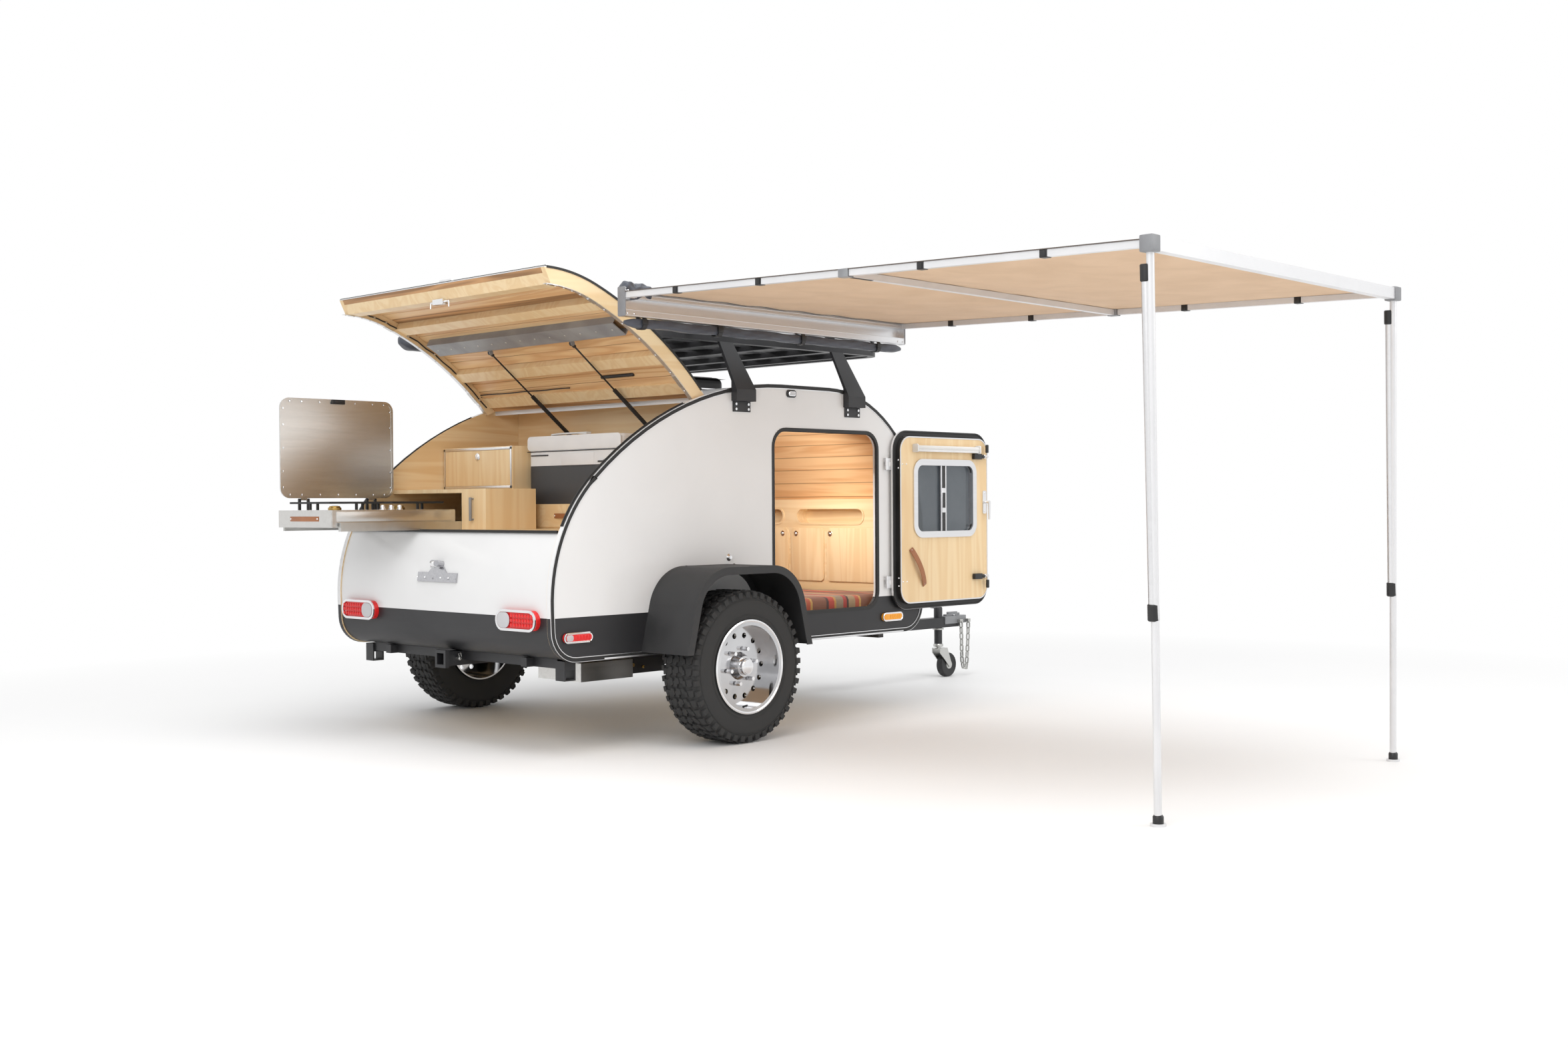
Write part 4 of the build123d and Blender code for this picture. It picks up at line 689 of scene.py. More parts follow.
class Piece:
    """One object under construction, drawn in millimetres from the axle and the ground."""

    def __init__(self, name: str, body: str, finish: Finish) -> None:
        """Start an empty piece.

        Args:
            name: the finished object's name.
            body: the body that it rides on.
            finish: the first finish.
        """
        self.name = name
        self.body = body
        self.finishes: list[Finish] = [finish]
        self.mark = 0
        self.points: list[Vector] = []
        self.faces: list[list[int]] = []
        self.marks: list[int] = []

    def use(self, finish: Finish) -> Piece:
        """Give what is added next another finish."""
        if finish not in self.finishes:
            self.finishes.append(finish)
        self.mark = self.finishes.index(finish)
        return self

    def take(self, mesh: bmesh.types.BMesh) -> Piece:
        """Merge, turn outwards and keep a small mesh."""
        bmesh.ops.remove_doubles(mesh, verts=mesh.verts, dist=0.01)
        bmesh.ops.recalc_face_normals(mesh, faces=mesh.faces)
        mesh.verts.index_update()
        base = len(self.points)
        self.points.extend(vert.co.copy() for vert in mesh.verts)
        for face in mesh.faces:
            self.faces.append([base + vert.index for vert in face.verts])
            self.marks.append(self.mark)
        mesh.free()
        return self

    def block(self, low: Point, high: Point, bevel: float = 1.0) -> Piece:
        """Add a board or a block with rounded edges.

        Args:
            low: its lowest corner.
            high: its highest corner.
            bevel: radius of its edges.

        Returns:
            This piece.
        """
        small = bmesh.new()
        low_v, high_v = Vector(low), Vector(high)
        size = high_v - low_v
        place = Matrix.Translation((low_v + high_v) / 2) @ Matrix.Diagonal(size.to_4d())
        bmesh.ops.create_cube(small, size=1.0, matrix=place)
        limit = min(bevel, 0.45 * min(size))
        bmesh.ops.bevel(small, geom=list(small.edges), offset=limit, segments=2, affect="EDGES", profile=0.6)
        return self.take(small)

    def rod(self, start: Point, end: Point, radius: float, sides: int = 20, bevel: float = 0.8,
            tip: float | None = None) -> Piece:
        """Add a round bar with rounded ends.

        Args:
            start: middle of its first end.
            end: middle of its last end.
            radius: its radius.
            sides: how many sides it is drawn with.
            bevel: radius of its end edges.
            tip: the last end's radius where it tapers.

        Returns:
            This piece.
        """
        first, last = Vector(start), Vector(end)
        length = (last - first).length
        end_radius = radius if tip is None else tip
        edge = min(bevel, 0.4 * length, 0.4 * min(radius, end_radius))
        profile = [(0.0, 0.0), (radius - edge, 0.0), (radius, edge), (end_radius, length - edge),
                   (end_radius - edge, length), (0.0, length)]
        return self.lathe(profile, first, last - first, sides)

    def lathe(self, profile: Pairs, centre: Point, axis: Point, sides: int = 32) -> Piece:
        """Turn a profile about an axis.

        Args:
            profile: pairs of radius and height along the axis.
            centre: the point at height 0.
            axis: the axis's direction.
            sides: how many steps the turn has.

        Returns:
            This piece.
        """
        small = bmesh.new()
        turn = Vector((0, 0, 1)).rotation_difference(Vector(axis)).to_matrix()
        rings = []
        for radius, height in profile:
            ring = []
            for step in range(sides):
                angle = 2 * math.pi * step / sides
                spot = Vector((radius * math.cos(angle), radius * math.sin(angle), height))
                ring.append(small.verts.new(turn @ spot + Vector(centre)))
            rings.append(ring)
        join_rings(small, rings)
        bmesh.ops.remove_doubles(small, verts=small.verts, dist=0.005)
        bmesh.ops.dissolve_degenerate(small, dist=0.001, edges=small.edges)
        return self.take(small)

    def tube(self, route: Sequence[Point], radius: float, sides: int = 10, closed: bool = False) -> Piece:
        """Sweep a round section along a route."""
        turns = [2 * math.pi * k / sides for k in range(sides)]
        return self.sweep(route, [(radius * math.cos(turn), radius * math.sin(turn)) for turn in turns],
                          closed=closed)

    def sweep(self, route: Sequence[Point], section: Pairs, side: Point = (0, 1, 0),
              closed: bool = False) -> Piece:
        """Sweep a closed section along a route.

        Args:
            route: the points that its middle follows.
            section: the section's corners, along side and along the normal.
            side: the way that the section's first axis keeps to.
            closed: whether the route ends where it starts.

        Returns:
            This piece.
        """
        small = bmesh.new()
        spots = [Vector(point) for point in route]
        count = len(spots)
        rings = []
        for index, spot in enumerate(spots):
            before = spots[index - 1] if index or closed else spot
            after = spots[(index + 1) % count] if index < count - 1 or closed else spot
            way = (after - before).normalized()
            across = Vector(side) - way * way.dot(Vector(side))
            if across.length < 0.05:
                across = way.orthogonal()
            across.normalize()
            up = way.cross(across)
            stretch = 1.0
            if 0 < index < count - 1 or closed:
                stretch = 1.0 / max((spot - before).normalized().dot(way), 0.4)
            bend = (after - spot).normalized() - (spot - before).normalized()
            bend = bend.normalized() if bend.length > 1e-4 else up
            ring = []
            for a, b in section:
                offset = across * a + up * b
                offset += bend * offset.dot(bend) * (stretch - 1.0)
                ring.append(small.verts.new(spot + offset))
            rings.append(ring)
        if closed:
            rings.append(rings[0])
        join_rings(small, rings)
        if not closed:
            small.faces.new(rings[0][::-1])
            small.faces.new(rings[-1])
        return self.take(small)

    def prism(self, outline: Pairs, flat: str, start: float, end: float, bevel: float = 0.8) -> Piece:
        """Stretch a flat outline into a plate.

        Args:
            outline: its corners in the two axes named by flat.
            flat: "xy", "xz" or "yz".
            start: where it starts along the third axis.
            end: where it ends.
            bevel: radius of its edges.

        Returns:
            This piece.
        """
        small = bmesh.new()
        order = {"xy": (0, 1, 2), "xz": (0, 2, 1), "yz": (1, 2, 0)}[flat]
        rings = []
        for level in (start, end):
            ring = []
            for a, b in outline:
                spot = [0.0, 0.0, 0.0]
                spot[order[0]], spot[order[1]], spot[order[2]] = a, b, level
                ring.append(small.verts.new(spot))
            rings.append(ring)
        small.faces.new(rings[0])
        small.faces.new(rings[1])
        join_rings(small, rings)
        bmesh.ops.recalc_face_normals(small, faces=small.faces)
        if bevel > 0:
            rims = [edge for edge in small.edges if len(edge.link_faces) == 2
                    and edge.calc_face_angle(0) > 1.0]
            bmesh.ops.bevel(small, geom=rims, offset=bevel, segments=2, affect="EDGES", profile=0.6)
        return self.take(small)

    def grid(self, rows: Sequence[Sequence[Point]], thick: float = 0.0) -> Piece:
        """Lay an open sheet through rows of points, with a back where thick isn't 0."""
        small = bmesh.new()
        nets = [[small.verts.new(Vector(point)) for point in row] for row in rows]
        for low, high in zip(nets, nets[1:]):
            for step in range(len(low) - 1):
                small.faces.new((low[step], low[step + 1], high[step + 1], high[step]))
        if thick:
            bmesh.ops.recalc_face_normals(small, faces=small.faces)
            bmesh.ops.solidify(small, geom=small.faces[:], thickness=thick)
        return self.take(small)

    def done(self, crease: float = 34.0, ride: bool = True) -> bpy.types.Object:
        """Make the object, shade it and let it ride.

        Args:
            crease: angle in degrees above which an edge stays sharp.
            ride: whether it rides on its body at once.

        Returns:
            The finished object.
        """
        mesh = bpy.data.meshes.new(self.name)
        mesh.from_pydata([(point - BALL) / 1000 for point in self.points], [], self.faces)
        for finish in self.finishes:
            mesh.materials.append(finish.material())
        mesh.polygons.foreach_set("material_index", self.marks)
        smooth(mesh, crease)
        mesh.update()
        made = placed(self.name, mesh)
        if ride:
            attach(made, self.body)
        LOG.info("%s on %s, %d faces", self.name, self.body, len(self.faces))
        return made


def rounded(a0: float, a1: float, b0: float, b1: float, radius: float,
            steps: int = 6) -> list[tuple[float, float]]:
    """Return a rounded rectangle's corners, anticlockwise.

    Args:
        a0: lowest first value.
        a1: highest first value.
        b0: lowest second value.
        b1: highest second value.
        radius: the corners' radius.
        steps: steps in each corner.

    Returns:
        The list of corners.
    """
    spots = []
    corners = ((a1 - radius, b0 + radius, -90), (a1 - radius, b1 - radius, 0), (a0 + radius, b1 - radius, 90),
               (a0 + radius, b0 + radius, 180))
    for a, b, start in corners:
        for step in range(steps + 1):
            angle = math.radians(start + 90 * step / steps)
            spots.append((a + radius * math.cos(angle), b + radius * math.sin(angle)))
    return spots


def bar(wide: float, high: float) -> Pairs:
    """Return a flat bar's section from its half width and half height."""
    return [(-wide, -high), (wide, -high), (wide, high), (-wide, high)]


# Repeats made by geometry nodes
class Repeats:
    """A node tree that sets out screws, treads, boards or dots and is turned into a plain mesh."""

    def __init__(self, name: str, sizes: dict[str, object]) -> None:
        """Start a tree with a mesh and named sizes going in.

        Args:
            name: the tree's name.
            sizes: its inputs by name, each an int, a float or a vector.
        """
        self.tree = bpy.data.node_groups.new(name, "GeometryNodeTree")
        self.nodes = Nodes(self.tree)
        self.sizes = sizes
        socket = self.tree.interface.new_socket
        socket("Geometry", in_out="INPUT", socket_type="NodeSocketGeometry")
        for label, value in sizes.items():
            kind = {int: "NodeSocketInt", float: "NodeSocketFloat"}.get(type(value), "NodeSocketVector")
            socket(label, in_out="INPUT", socket_type=kind).default_value = value
        socket("Geometry", in_out="OUTPUT", socket_type="NodeSocketGeometry")
        self.ends = self.tree.nodes.new("NodeGroupInput").outputs

    def bake(self, holder: bpy.types.Object, points: Socket, pattern: Socket, turn: Socket, name: str,
             body: str,
             finish: Finish, crease: float = 40.0) -> bpy.types.Object:
        """Set a pattern on points and keep the result as a plain mesh.

        Args:
            holder: the object that carries the points or the pattern piece.
            points: where the copies stand.
            pattern: what is copied.
            turn: each copy's turn.
            name: the finished piece's name.
            body: the body that it rides on.
            finish: its finish.
            crease: angle above which an edge stays sharp.

        Returns:
            The finished object.
        """
        spread = self.nodes.add("GeometryNodeInstanceOnPoints",
                                {"Points": points, "Instance": pattern, "Rotation": turn})
        real = self.nodes.add("GeometryNodeRealizeInstances", {0: spread.outputs["Instances"]})
        dress = self.nodes.add("GeometryNodeSetMaterial", {0: real.outputs[0], "Material": finish.material()})
        self.nodes.add("NodeGroupOutput", {0: dress.outputs[0]})
        modifier = holder.modifiers.new(self.tree.name, "NODES")
        modifier.node_group = self.tree
        for item in self.tree.interface.items_tree:
            if item.in_out == "INPUT" and item.name in self.sizes:
                modifier[item.identifier] = self.sizes[item.name]
        mesh = bpy.data.meshes.new_from_object(holder.evaluated_get(bpy.context.evaluated_depsgraph_get()))
        holder.modifiers.clear()
        bpy.data.objects.remove(holder)
        mesh.name = name
        if not mesh.materials:
            mesh.materials.append(finish.material())
        smooth(mesh, crease)
        made = placed(name, mesh)
        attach(made, body)
        LOG.info("%s on %s, %d faces", name, body, len(mesh.polygons))
        return made

    @classmethod
    def heads(cls, name: str, body: str, spots: Iterable[tuple[Point, Point]], radius: float, height: float,
              finish: Finish, sides: int = 12, top: float = 0.6) -> bpy.types.Object:
        """Set a screw, rivet or nut head on each spot.

        Args:
            name: the piece's name.
            body: the body that it rides on.
            spots: pairs of a place in millimetres and the way that the head faces.
            radius: the head's radius in millimetres.
            height: how far it stands up.
            finish: its finish.
            sides: how many sides a head has.
            top: the top's radius as a share of the foot's.

        Returns:
            The finished object.
        """
        places = list(spots)
        mesh = bpy.data.meshes.new(name + "_spots")
        mesh.from_pydata([at(*spot) for spot, _ in places], [], [])
        ways = mesh.attributes.new("facing", "FLOAT_VECTOR", "POINT")
        ways.data.foreach_set("vector", [part for _, way in places for part in Vector(way).normalized()])
        row = cls(name + "_heads",
                  {"Radius": radius / 1000, "Height": height / 1000, "Top": top, "Sides": sides})
        ends, add = row.ends, row.nodes.add
        crown = row.nodes.math("MULTIPLY", ends["Radius"], ends["Top"])
        cone = add("GeometryNodeMeshCone", {"Radius Top": crown, "Radius Bottom": ends["Radius"],
                                            "Depth": ends["Height"], "Vertices": ends["Sides"]})
        way = add("GeometryNodeInputNamedAttribute", {"Name": "facing"}, data_type="FLOAT_VECTOR")
        turn = add("FunctionNodeAlignRotationToVector", {"Vector": way.outputs["Attribute"]}, axis="Z")
        return row.bake(placed(name + "_spots", mesh), ends["Geometry"], cone.outputs["Mesh"],
                        turn.outputs["Rotation"], name, body, finish)

    @classmethod
    def copies(cls, pattern: Piece, count: int, shift: Point = (0, 0, 0), turn: Point = (0, 0, 0),
               centre: Point = (0, 0, 0), crease: float = 40.0) -> bpy.types.Object:
        """Repeat one pattern piece along a line or round a centre.

        Args:
            pattern: the piece to repeat, not yet finished.
            count: how many there are.
            shift: the step from one to the next, in millimetres.
            turn: the turn from one to the next about the centre, in radians.
            centre: the point that they turn about, in millimetres.
            crease: angle above which an edge stays sharp.

        Returns:
            The finished object.
        """
        middle = Vector(centre)
        pattern.points = [point - middle + BALL for point in pattern.points]
        row = cls(pattern.name + "_row",
                  {"Count": count, "Shift": tuple(Vector(shift) / 1000), "Turn": tuple(turn),
                                          "Centre": tuple(at(*centre))})
        ends, add = row.ends, row.nodes.add
        line = add("GeometryNodeMeshLine", {"Count": ends["Count"], "Start Location": ends["Centre"],
                                            "Offset": ends["Shift"]})
        index = add("GeometryNodeInputIndex")
        angle = add("ShaderNodeVectorMath", {0: ends["Turn"], "Scale": index.outputs[0]}, operation="SCALE")
        return row.bake(pattern.done(crease, ride=False), line.outputs["Mesh"], ends["Geometry"],
                        angle.outputs[0],
                        pattern.name, pattern.body, pattern.finishes[0], crease)


# Body outline
ROOF_ARC = (502.0, -98.0, 1720.0)
TAIL_ARC = (-165.1, 642.9, 723.0)
TAIL_TURN = 42.0
HINGE = (33.0, 1550.586)
LIFT = math.radians(64.0)


def outline_points(inset: float, start: float = 0.0, end: float = 360.0) -> list[tuple[float, float]]:
    """Return the side view's outline from the roof back over the tail, under the floor and up the nose.

    Args:
        inset: distance inside the outline, in millimetres.
        start: first share of the way round, from 0 to 360.
        end: last share of the way round.

    Returns:
        Pairs of x and z.
    """
    arcs = ((*ROOF_ARC, 0.0, TAIL_TURN, 14), (*TAIL_ARC, TAIL_TURN, 92.0, 14),
            (-750.6, 530.4, 134.0, 92.0, 180.0, 8), (1420.0, 536.4, 140.0, 180.0, 270.0, 8),
            (840.0, 902.0, 720.0, 270.0, 360.0, 18))
    spots = []
    for centre_x, centre_z, radius, low, high, steps in arcs:
        for step in range(steps + 1):
            turn = low + (high - low) * step / steps
            if start <= turn <= end:
                angle = math.radians(turn)
                reach = radius - inset
                spots.append((centre_x - reach * math.sin(angle), centre_z + reach * math.cos(angle)))
    return spots


def lifted(x: float, z: float) -> tuple[float, float]:
    """Return where a point of the closed hatch lies when it is up."""
    dx, dz = x - HINGE[0], z - HINGE[1]
    return (HINGE[0] + dx * math.cos(LIFT) + dz * math.sin(LIFT),
            HINGE[1] - dx * math.sin(LIFT) + dz * math.cos(LIFT))


def hatch_spot(turn: float, inset: float) -> tuple[float, float]:
    """Return a point of the raised hatch from its turn along the closed outline and its inset."""
    angle = math.radians(turn)
    x, z, radius = ROOF_ARC if turn <= TAIL_TURN else TAIL_ARC
    return lifted(x - (radius - inset) * math.sin(angle), z + (radius - inset) * math.cos(angle))


def both(side: str) -> int:
    """Return the sign of y for a side's name."""
    return -1 if side == "right" else 1


def ring_of(a0: float, a1: float, b0: float, b1: float, corner: float, depth: float) -> list[Vector]:
    """Return a rounded rectangle in x and z at one y."""
    return [Vector((a, depth, b)) for a, b in rounded(a0, a1, b0, b1, corner, 8)]


@dataclass
class BodyShell:
    """Edge trims, seals and small fittings of the two-tone body.

    Args:
        wall_y: outer face of the side walls.
        door: the door opening's x and z limits.
        corner: the opening's corner radius.
    """

    wall_y: float = 816.0
    door: tuple[float, float, float, float] = (451.0, 1197.0, 536.0, 1404.0)
    corner: float = 80.0

    def edge_trim(self, side: str) -> None:
        """Run the black and bright edge moulding round one wall."""
        sign = both(side)
        trim = Piece(f"wall_edge_trim_{side}", "trailer", RUBBER)
        route = [(x, sign * (self.wall_y + 0.9), z) for x, z in outline_points(9.0)]
        trim.sweep(route, [(-1.6, -8.0), (1.2, -8.0), (1.9, -4.0), (1.9, 4.0), (1.2, 8.0), (-1.6, 8.0)],
                   closed=True)
        trim.use(ALUMINIUM)
        for inset in (0.6, 19.2):
            route = [(x, sign * (self.wall_y + 0.9), z) for x, z in outline_points(inset)]
            trim.sweep(route, [(-1.6, -1.5), (1.6, -1.1), (2.3, 0.0), (1.6, 1.1), (-1.6, 1.5)], closed=True)
        trim.done(50)

    def galley_edge(self, side: str) -> None:
        """Cap the wall's top along the galley, where the hatch shuts."""
        sign = both(side)
        cap = Piece(f"galley_edge_seal_{side}", "trailer", RUBBER)
        route = [(x, sign * 803.0, z) for x, z in outline_points(-0.2, 18.5, 66.0)]
        cap.sweep(route, [(-9.0, -1.0), (9.0, -1.0), (8.0, 2.2), (-8.0, 2.2)])
        bulb = [(x, sign * 797.0, z) for x, z in outline_points(-2.6, 18.5, 66.0)]
        cap.tube(bulb, 3.2, 8)
        cap.done(50)

    def door_seal(self) -> None:
        """Line the open doorway with its rubber seal and bright edge."""
        x0, x1, z0, z1 = self.door
        seal = Piece("doorway_seal", "trailer", RUBBER)
        route = ring_of(x0 - 6, x1 + 6, z0 - 6, z1 + 6, self.corner + 6, -self.wall_y - 1.2)
        seal.sweep(route, [(-1.8, -8.0), (1.8, -8.0), (2.6, 0.0), (1.8, 8.0), (-1.8, 8.0)], closed=True)
        route = ring_of(x0 + 1, x1 - 1, z0 + 1, z1 - 1, self.corner - 1, -self.wall_y + 6.0)
        seal.tube(route, 4.0, 8, closed=True)
        seal.use(ALUMINIUM)
        route = ring_of(x0 - 12.5, x1 + 12.5, z0 - 12.5, z1 + 12.5, self.corner + 12.5, -self.wall_y - 0.8)
        seal.sweep(route, [(-1.2, -1.6), (1.4, -1.0), (1.4, 1.0), (-1.2, 1.6)], closed=True)
        seal.done(50)

    def fittings(self) -> None:
        """Add the porch light, the tie fitting over the wheel and the sill strips."""
        lamp = Piece("porch_light", "trailer", BLACK_SATIN)
        lamp.prism(rounded(538, 602, 1562, 1598, 15), "xz", -self.wall_y - 7.0, -self.wall_y + 1.0, 2.0)
        lamp.use(CHROME).prism(rounded(546, 594, 1568, 1592, 10), "xz", -self.wall_y - 12.0,
                               -self.wall_y - 6.0, 2.5)
        lamp.use(CLEAR).prism(rounded(552, 588, 1572, 1588, 7), "xz", -self.wall_y - 15.0,
                              -self.wall_y - 11.0, 1.5)
        lamp.done()
        knob = Piece("wall_grommet", "trailer", CHROME)
        knob.lathe([(0, 0), (16, 0), (17, 2), (13, 6), (9, 9), (8, 14), (0, 15)],
                   (150, -self.wall_y + 0.5, 812), (0, -1, 0))
        knob.done()
        for sign, side in ((-1, "right"), (1, "left")):
            sill = Piece(f"sill_strip_{side}", "trailer", ALUMINIUM)
            sill.block((-600, sign * 818.2 - 1.6, 398), (1400, sign * 818.2 + 1.6, 404), 0.8)
            sill.done()

    def build(self) -> None:
        """Build every trim."""
        for side in ("right", "left"):
            self.edge_trim(side)
            self.galley_edge(side)
        self.door_seal()
        self.fittings()


@dataclass
class Galley:
    """Stove, cool box and cabinet fittings behind the hatch.

    Args:
        stove: the stove's x and y limits.
    """

    stove: tuple[float, float, float, float] = (-1262.0, -612.0, 240.0, 700.0)

    def counter_seal(self) -> None:
        """Lay the black seal along the counter's rear edge."""
        seal = Piece("counter_seal", "trailer", RUBBER)
        seal.block((-829, -786, 937.6), (-803, 786, 944.6), 2.5)
        seal.tube([(-818, -780, 946), (-818, 0, 946), (-818, 780, 946)], 4.0, 10)
        seal.use(ALUMINIUM).block((-801, -786, 943), (-788, 786, 946.4), 0.8)
        seal.done()

    def burners(self) -> None:
        """Add the burner heads, the three knobs, the end strap and the side's telescopic rail."""
        x0, x1, y0, y1 = self.stove
        top = Piece("stove_fittings", "trailer", CHROME)
        for x in (-985, -940, -895):
            top.lathe([(0, 0), (15, 0), (15, 3), (11, 5), (10, 20), (8.5, 22), (0, 22)],
                      (x, y0 + 30, 1039.6), (0, 0, 1), 24)
        top.use(BRASS)
        for x in (-1110, -770):
            top.lathe([(0, 0), (30, 0), (30, 10), (24, 14), (24, 18), (10, 20), (0, 20)], (x, 470, 1040),
                      (0, 0, 1), 28)
        top.use(POWDER)
        for x in (-1110, -770):
            for turn in range(8):
                way = Vector((math.cos(turn * math.pi / 4), math.sin(turn * math.pi / 4), 0))
                foot = Vector((x, 470, 1074)) + way * 24
                top.rod(foot, foot + way * 78, 3.2, 8)
        top.use(LEATHER)
        strap = [(x0 - 2.6 - 9.0 * math.sin(math.pi * k / 8) ** 0.7, y0 + 110 + 30 * k, 1001)
                 for k in range(9)]
        top.sweep(strap, bar(11, 1.6), side=(0, 0, 1))
        top.use(STAINLESS)
        top.block((x0 - 1.6, y0 + 6, 965), (x0 + 2, y1 - 6, 1036), 1.2)
        top.block((x0 + 20, y0 - 2.2, 988), (x1 - 20, y0 + 1, 1034), 1.0)
        top.use(ZINC)
        top.block((x0 + 30, y0 - 9.5, 966), (x1 + 20, y0 - 1.0, 984), 1.6)
        top.block((x0 + 40, y0 - 12.0, 971), (x1 + 10, y0 - 8.0, 979), 1.0)
        top.done()
        spots = [((x0 - 5.0, y0 + 118 + 224 * k, 1001), (-1, 0, 0)) for k in range(2)]
        spots += [((x0 + 70 + 100 * k, y0 - 12.2, 975), (0, -1, 0)) for k in range(6)]
        Repeats.heads("stove_screws", "trailer", spots, 4.0, 2.4, CHROME)

    def lid(self) -> None:
        """Add the lid's rim screws, its folded edge and its latch."""
        edge = Piece("stove_lid_edge", "stove_lid", STAINLESS_UP)
        route = [Vector((x, 699.2, z)) for x, z in rounded(-1247, -653, 1101, 1557, 42, 8)]
        edge.sweep(route, [(-1.6, -5.0), (0.8, -5.0), (0.8, 5.0), (-1.6, 5.0)], closed=True)
        edge.use(BLACK_SATIN).block((-985, 690, 1540), (-915, 699, 1562), 3)
        edge.block((-972, 686, 1546), (-928, 692, 1556), 2)
        edge.done()
        spots = [((x, 698.2, z), (0, -1, 0)) for x, z in rounded(-1236, -664, 1112, 1546, 34, 1)]
        spots += [((-1236 + 95.3 * k, 698.2, z), (0, -1, 0)) for k in range(1, 6) for z in (1112, 1546)]
        spots += [((x, 698.2, 1112 + 108 * k), (0, -1, 0)) for k in range(1, 4) for x in (-1236, -664)]
        Repeats.heads("stove_lid_screws", "stove_lid", spots, 4.6, 2.2, CHROME)

    def cabinets(self) -> None:
        """Frame the upper locker and add latches, the upright pull and the drawer strap."""
        fit = Piece("galley_cabinet_fittings", "trailer", ALUMINIUM)
        y0, y1, z0, z1, x = 226.0, 786.0, 1141.0, 1341.0, -290.4
        fit.block((x - 4, y0, z1 - 12), (x, y1, z1), 1.0).block((x - 4, y0, z0), (x, y1, z0 + 12), 1.0)
        fit.block((x - 4, y0, z0), (x, y0 + 12, z1), 1.0).block((x - 4, y1 - 12, z0), (x, y1, z1), 1.0)
        fit.block((x - 4, y0 - 3, z1 - 2), (170, y0 + 9, z1 + 4), 1.0)
        fit.use(CHROME)
        fit.lathe([(0, 0), (19, 0), (19, 3), (15, 5), (0, 5)], (x - 1, 500, 1296), (-1, 0, 0), 28)
        fit.block((x - 14, 494, 1284), (x - 4, 506, 1308), 2.5)
        fit.use(PLY_UPRIGHT)
        fit.block((x - 2.2, y0 + 14, z0 + 14), (x + 1, y1 - 14, z1 - 14), 0.8)
        fit.use(GREY_PAINT)
        fit.rod((-606, 128, 985), (-606, 128, 1095), 7.0, 14)
        fit.rod((-606, 128, 992), (-588, 128, 992), 4.5, 10)
        fit.rod((-606, 128, 1088), (-588, 128, 1088), 4.5, 10)
        fit.use(LEATHER)
        strap = [(-246 - 11 * math.sin(math.pi * k / 8) ** 0.7, -250 + 26 * k, 1006) for k in range(9)]
        fit.sweep(strap, bar(11, 1.5), side=(0, 0, 1))
        fit.use(PLY)
        fit.block((-246, -494, 952), (-240.5, 194, 1056), 1.2)
        fit.done()
        spots = [((-249, -246, 1006), (-1, 0, 0)), ((-249, -46, 1006), (-1, 0, 0))]
        Repeats.heads("drawer_strap_screws", "trailer", spots, 4.5, 2.5, CHROME)

    def cool_box(self) -> None:
        """Add the lid seam, handle and vent slats of the cool box."""
        box = Piece("cool_box_details", "trailer", COOL)
        box.prism(rounded(-492, 197, 1318, 1387, 22), "yz", -219, -213, 2.0)
        box.block((-217.5, -300, 1240), (-213, -60, 1302), 2.0)
        box.use(BLACK_SATIN)
        box.block((-218.5, -496, 1311), (-212, 199, 1315.5), 1.2)
        box.block((-219.5, 40, 1292), (-213, 170, 1298), 1.0)
        box.block((-221, -470, 1255), (-214, -330, 1262), 1.5)
        box.use(WHITE_MOULD)
        box.sweep([(-150, -180, 1386), (-150, -180, 1396), (-150, -110, 1399), (-150, 10, 1399),
                   (-150, 80, 1396),
                   (-150, 80, 1386)], bar(14, 3.5), side=(1, 0, 0))
        box.done()
        slat = Piece("cool_box_grille", "trailer", BLACK_SATIN)
        slat.block((-219.5, -470, 1160), (-214, -368, 1163.6), 1.0)
        Repeats.copies(slat, 13, shift=(0, 0, 8.5), centre=(-216, -420, 1162))

    def build(self) -> None:
        """Build every galley fitting."""
        self.counter_seal()
        self.burners()
        self.lid()
        self.cabinets()
        self.cool_box()


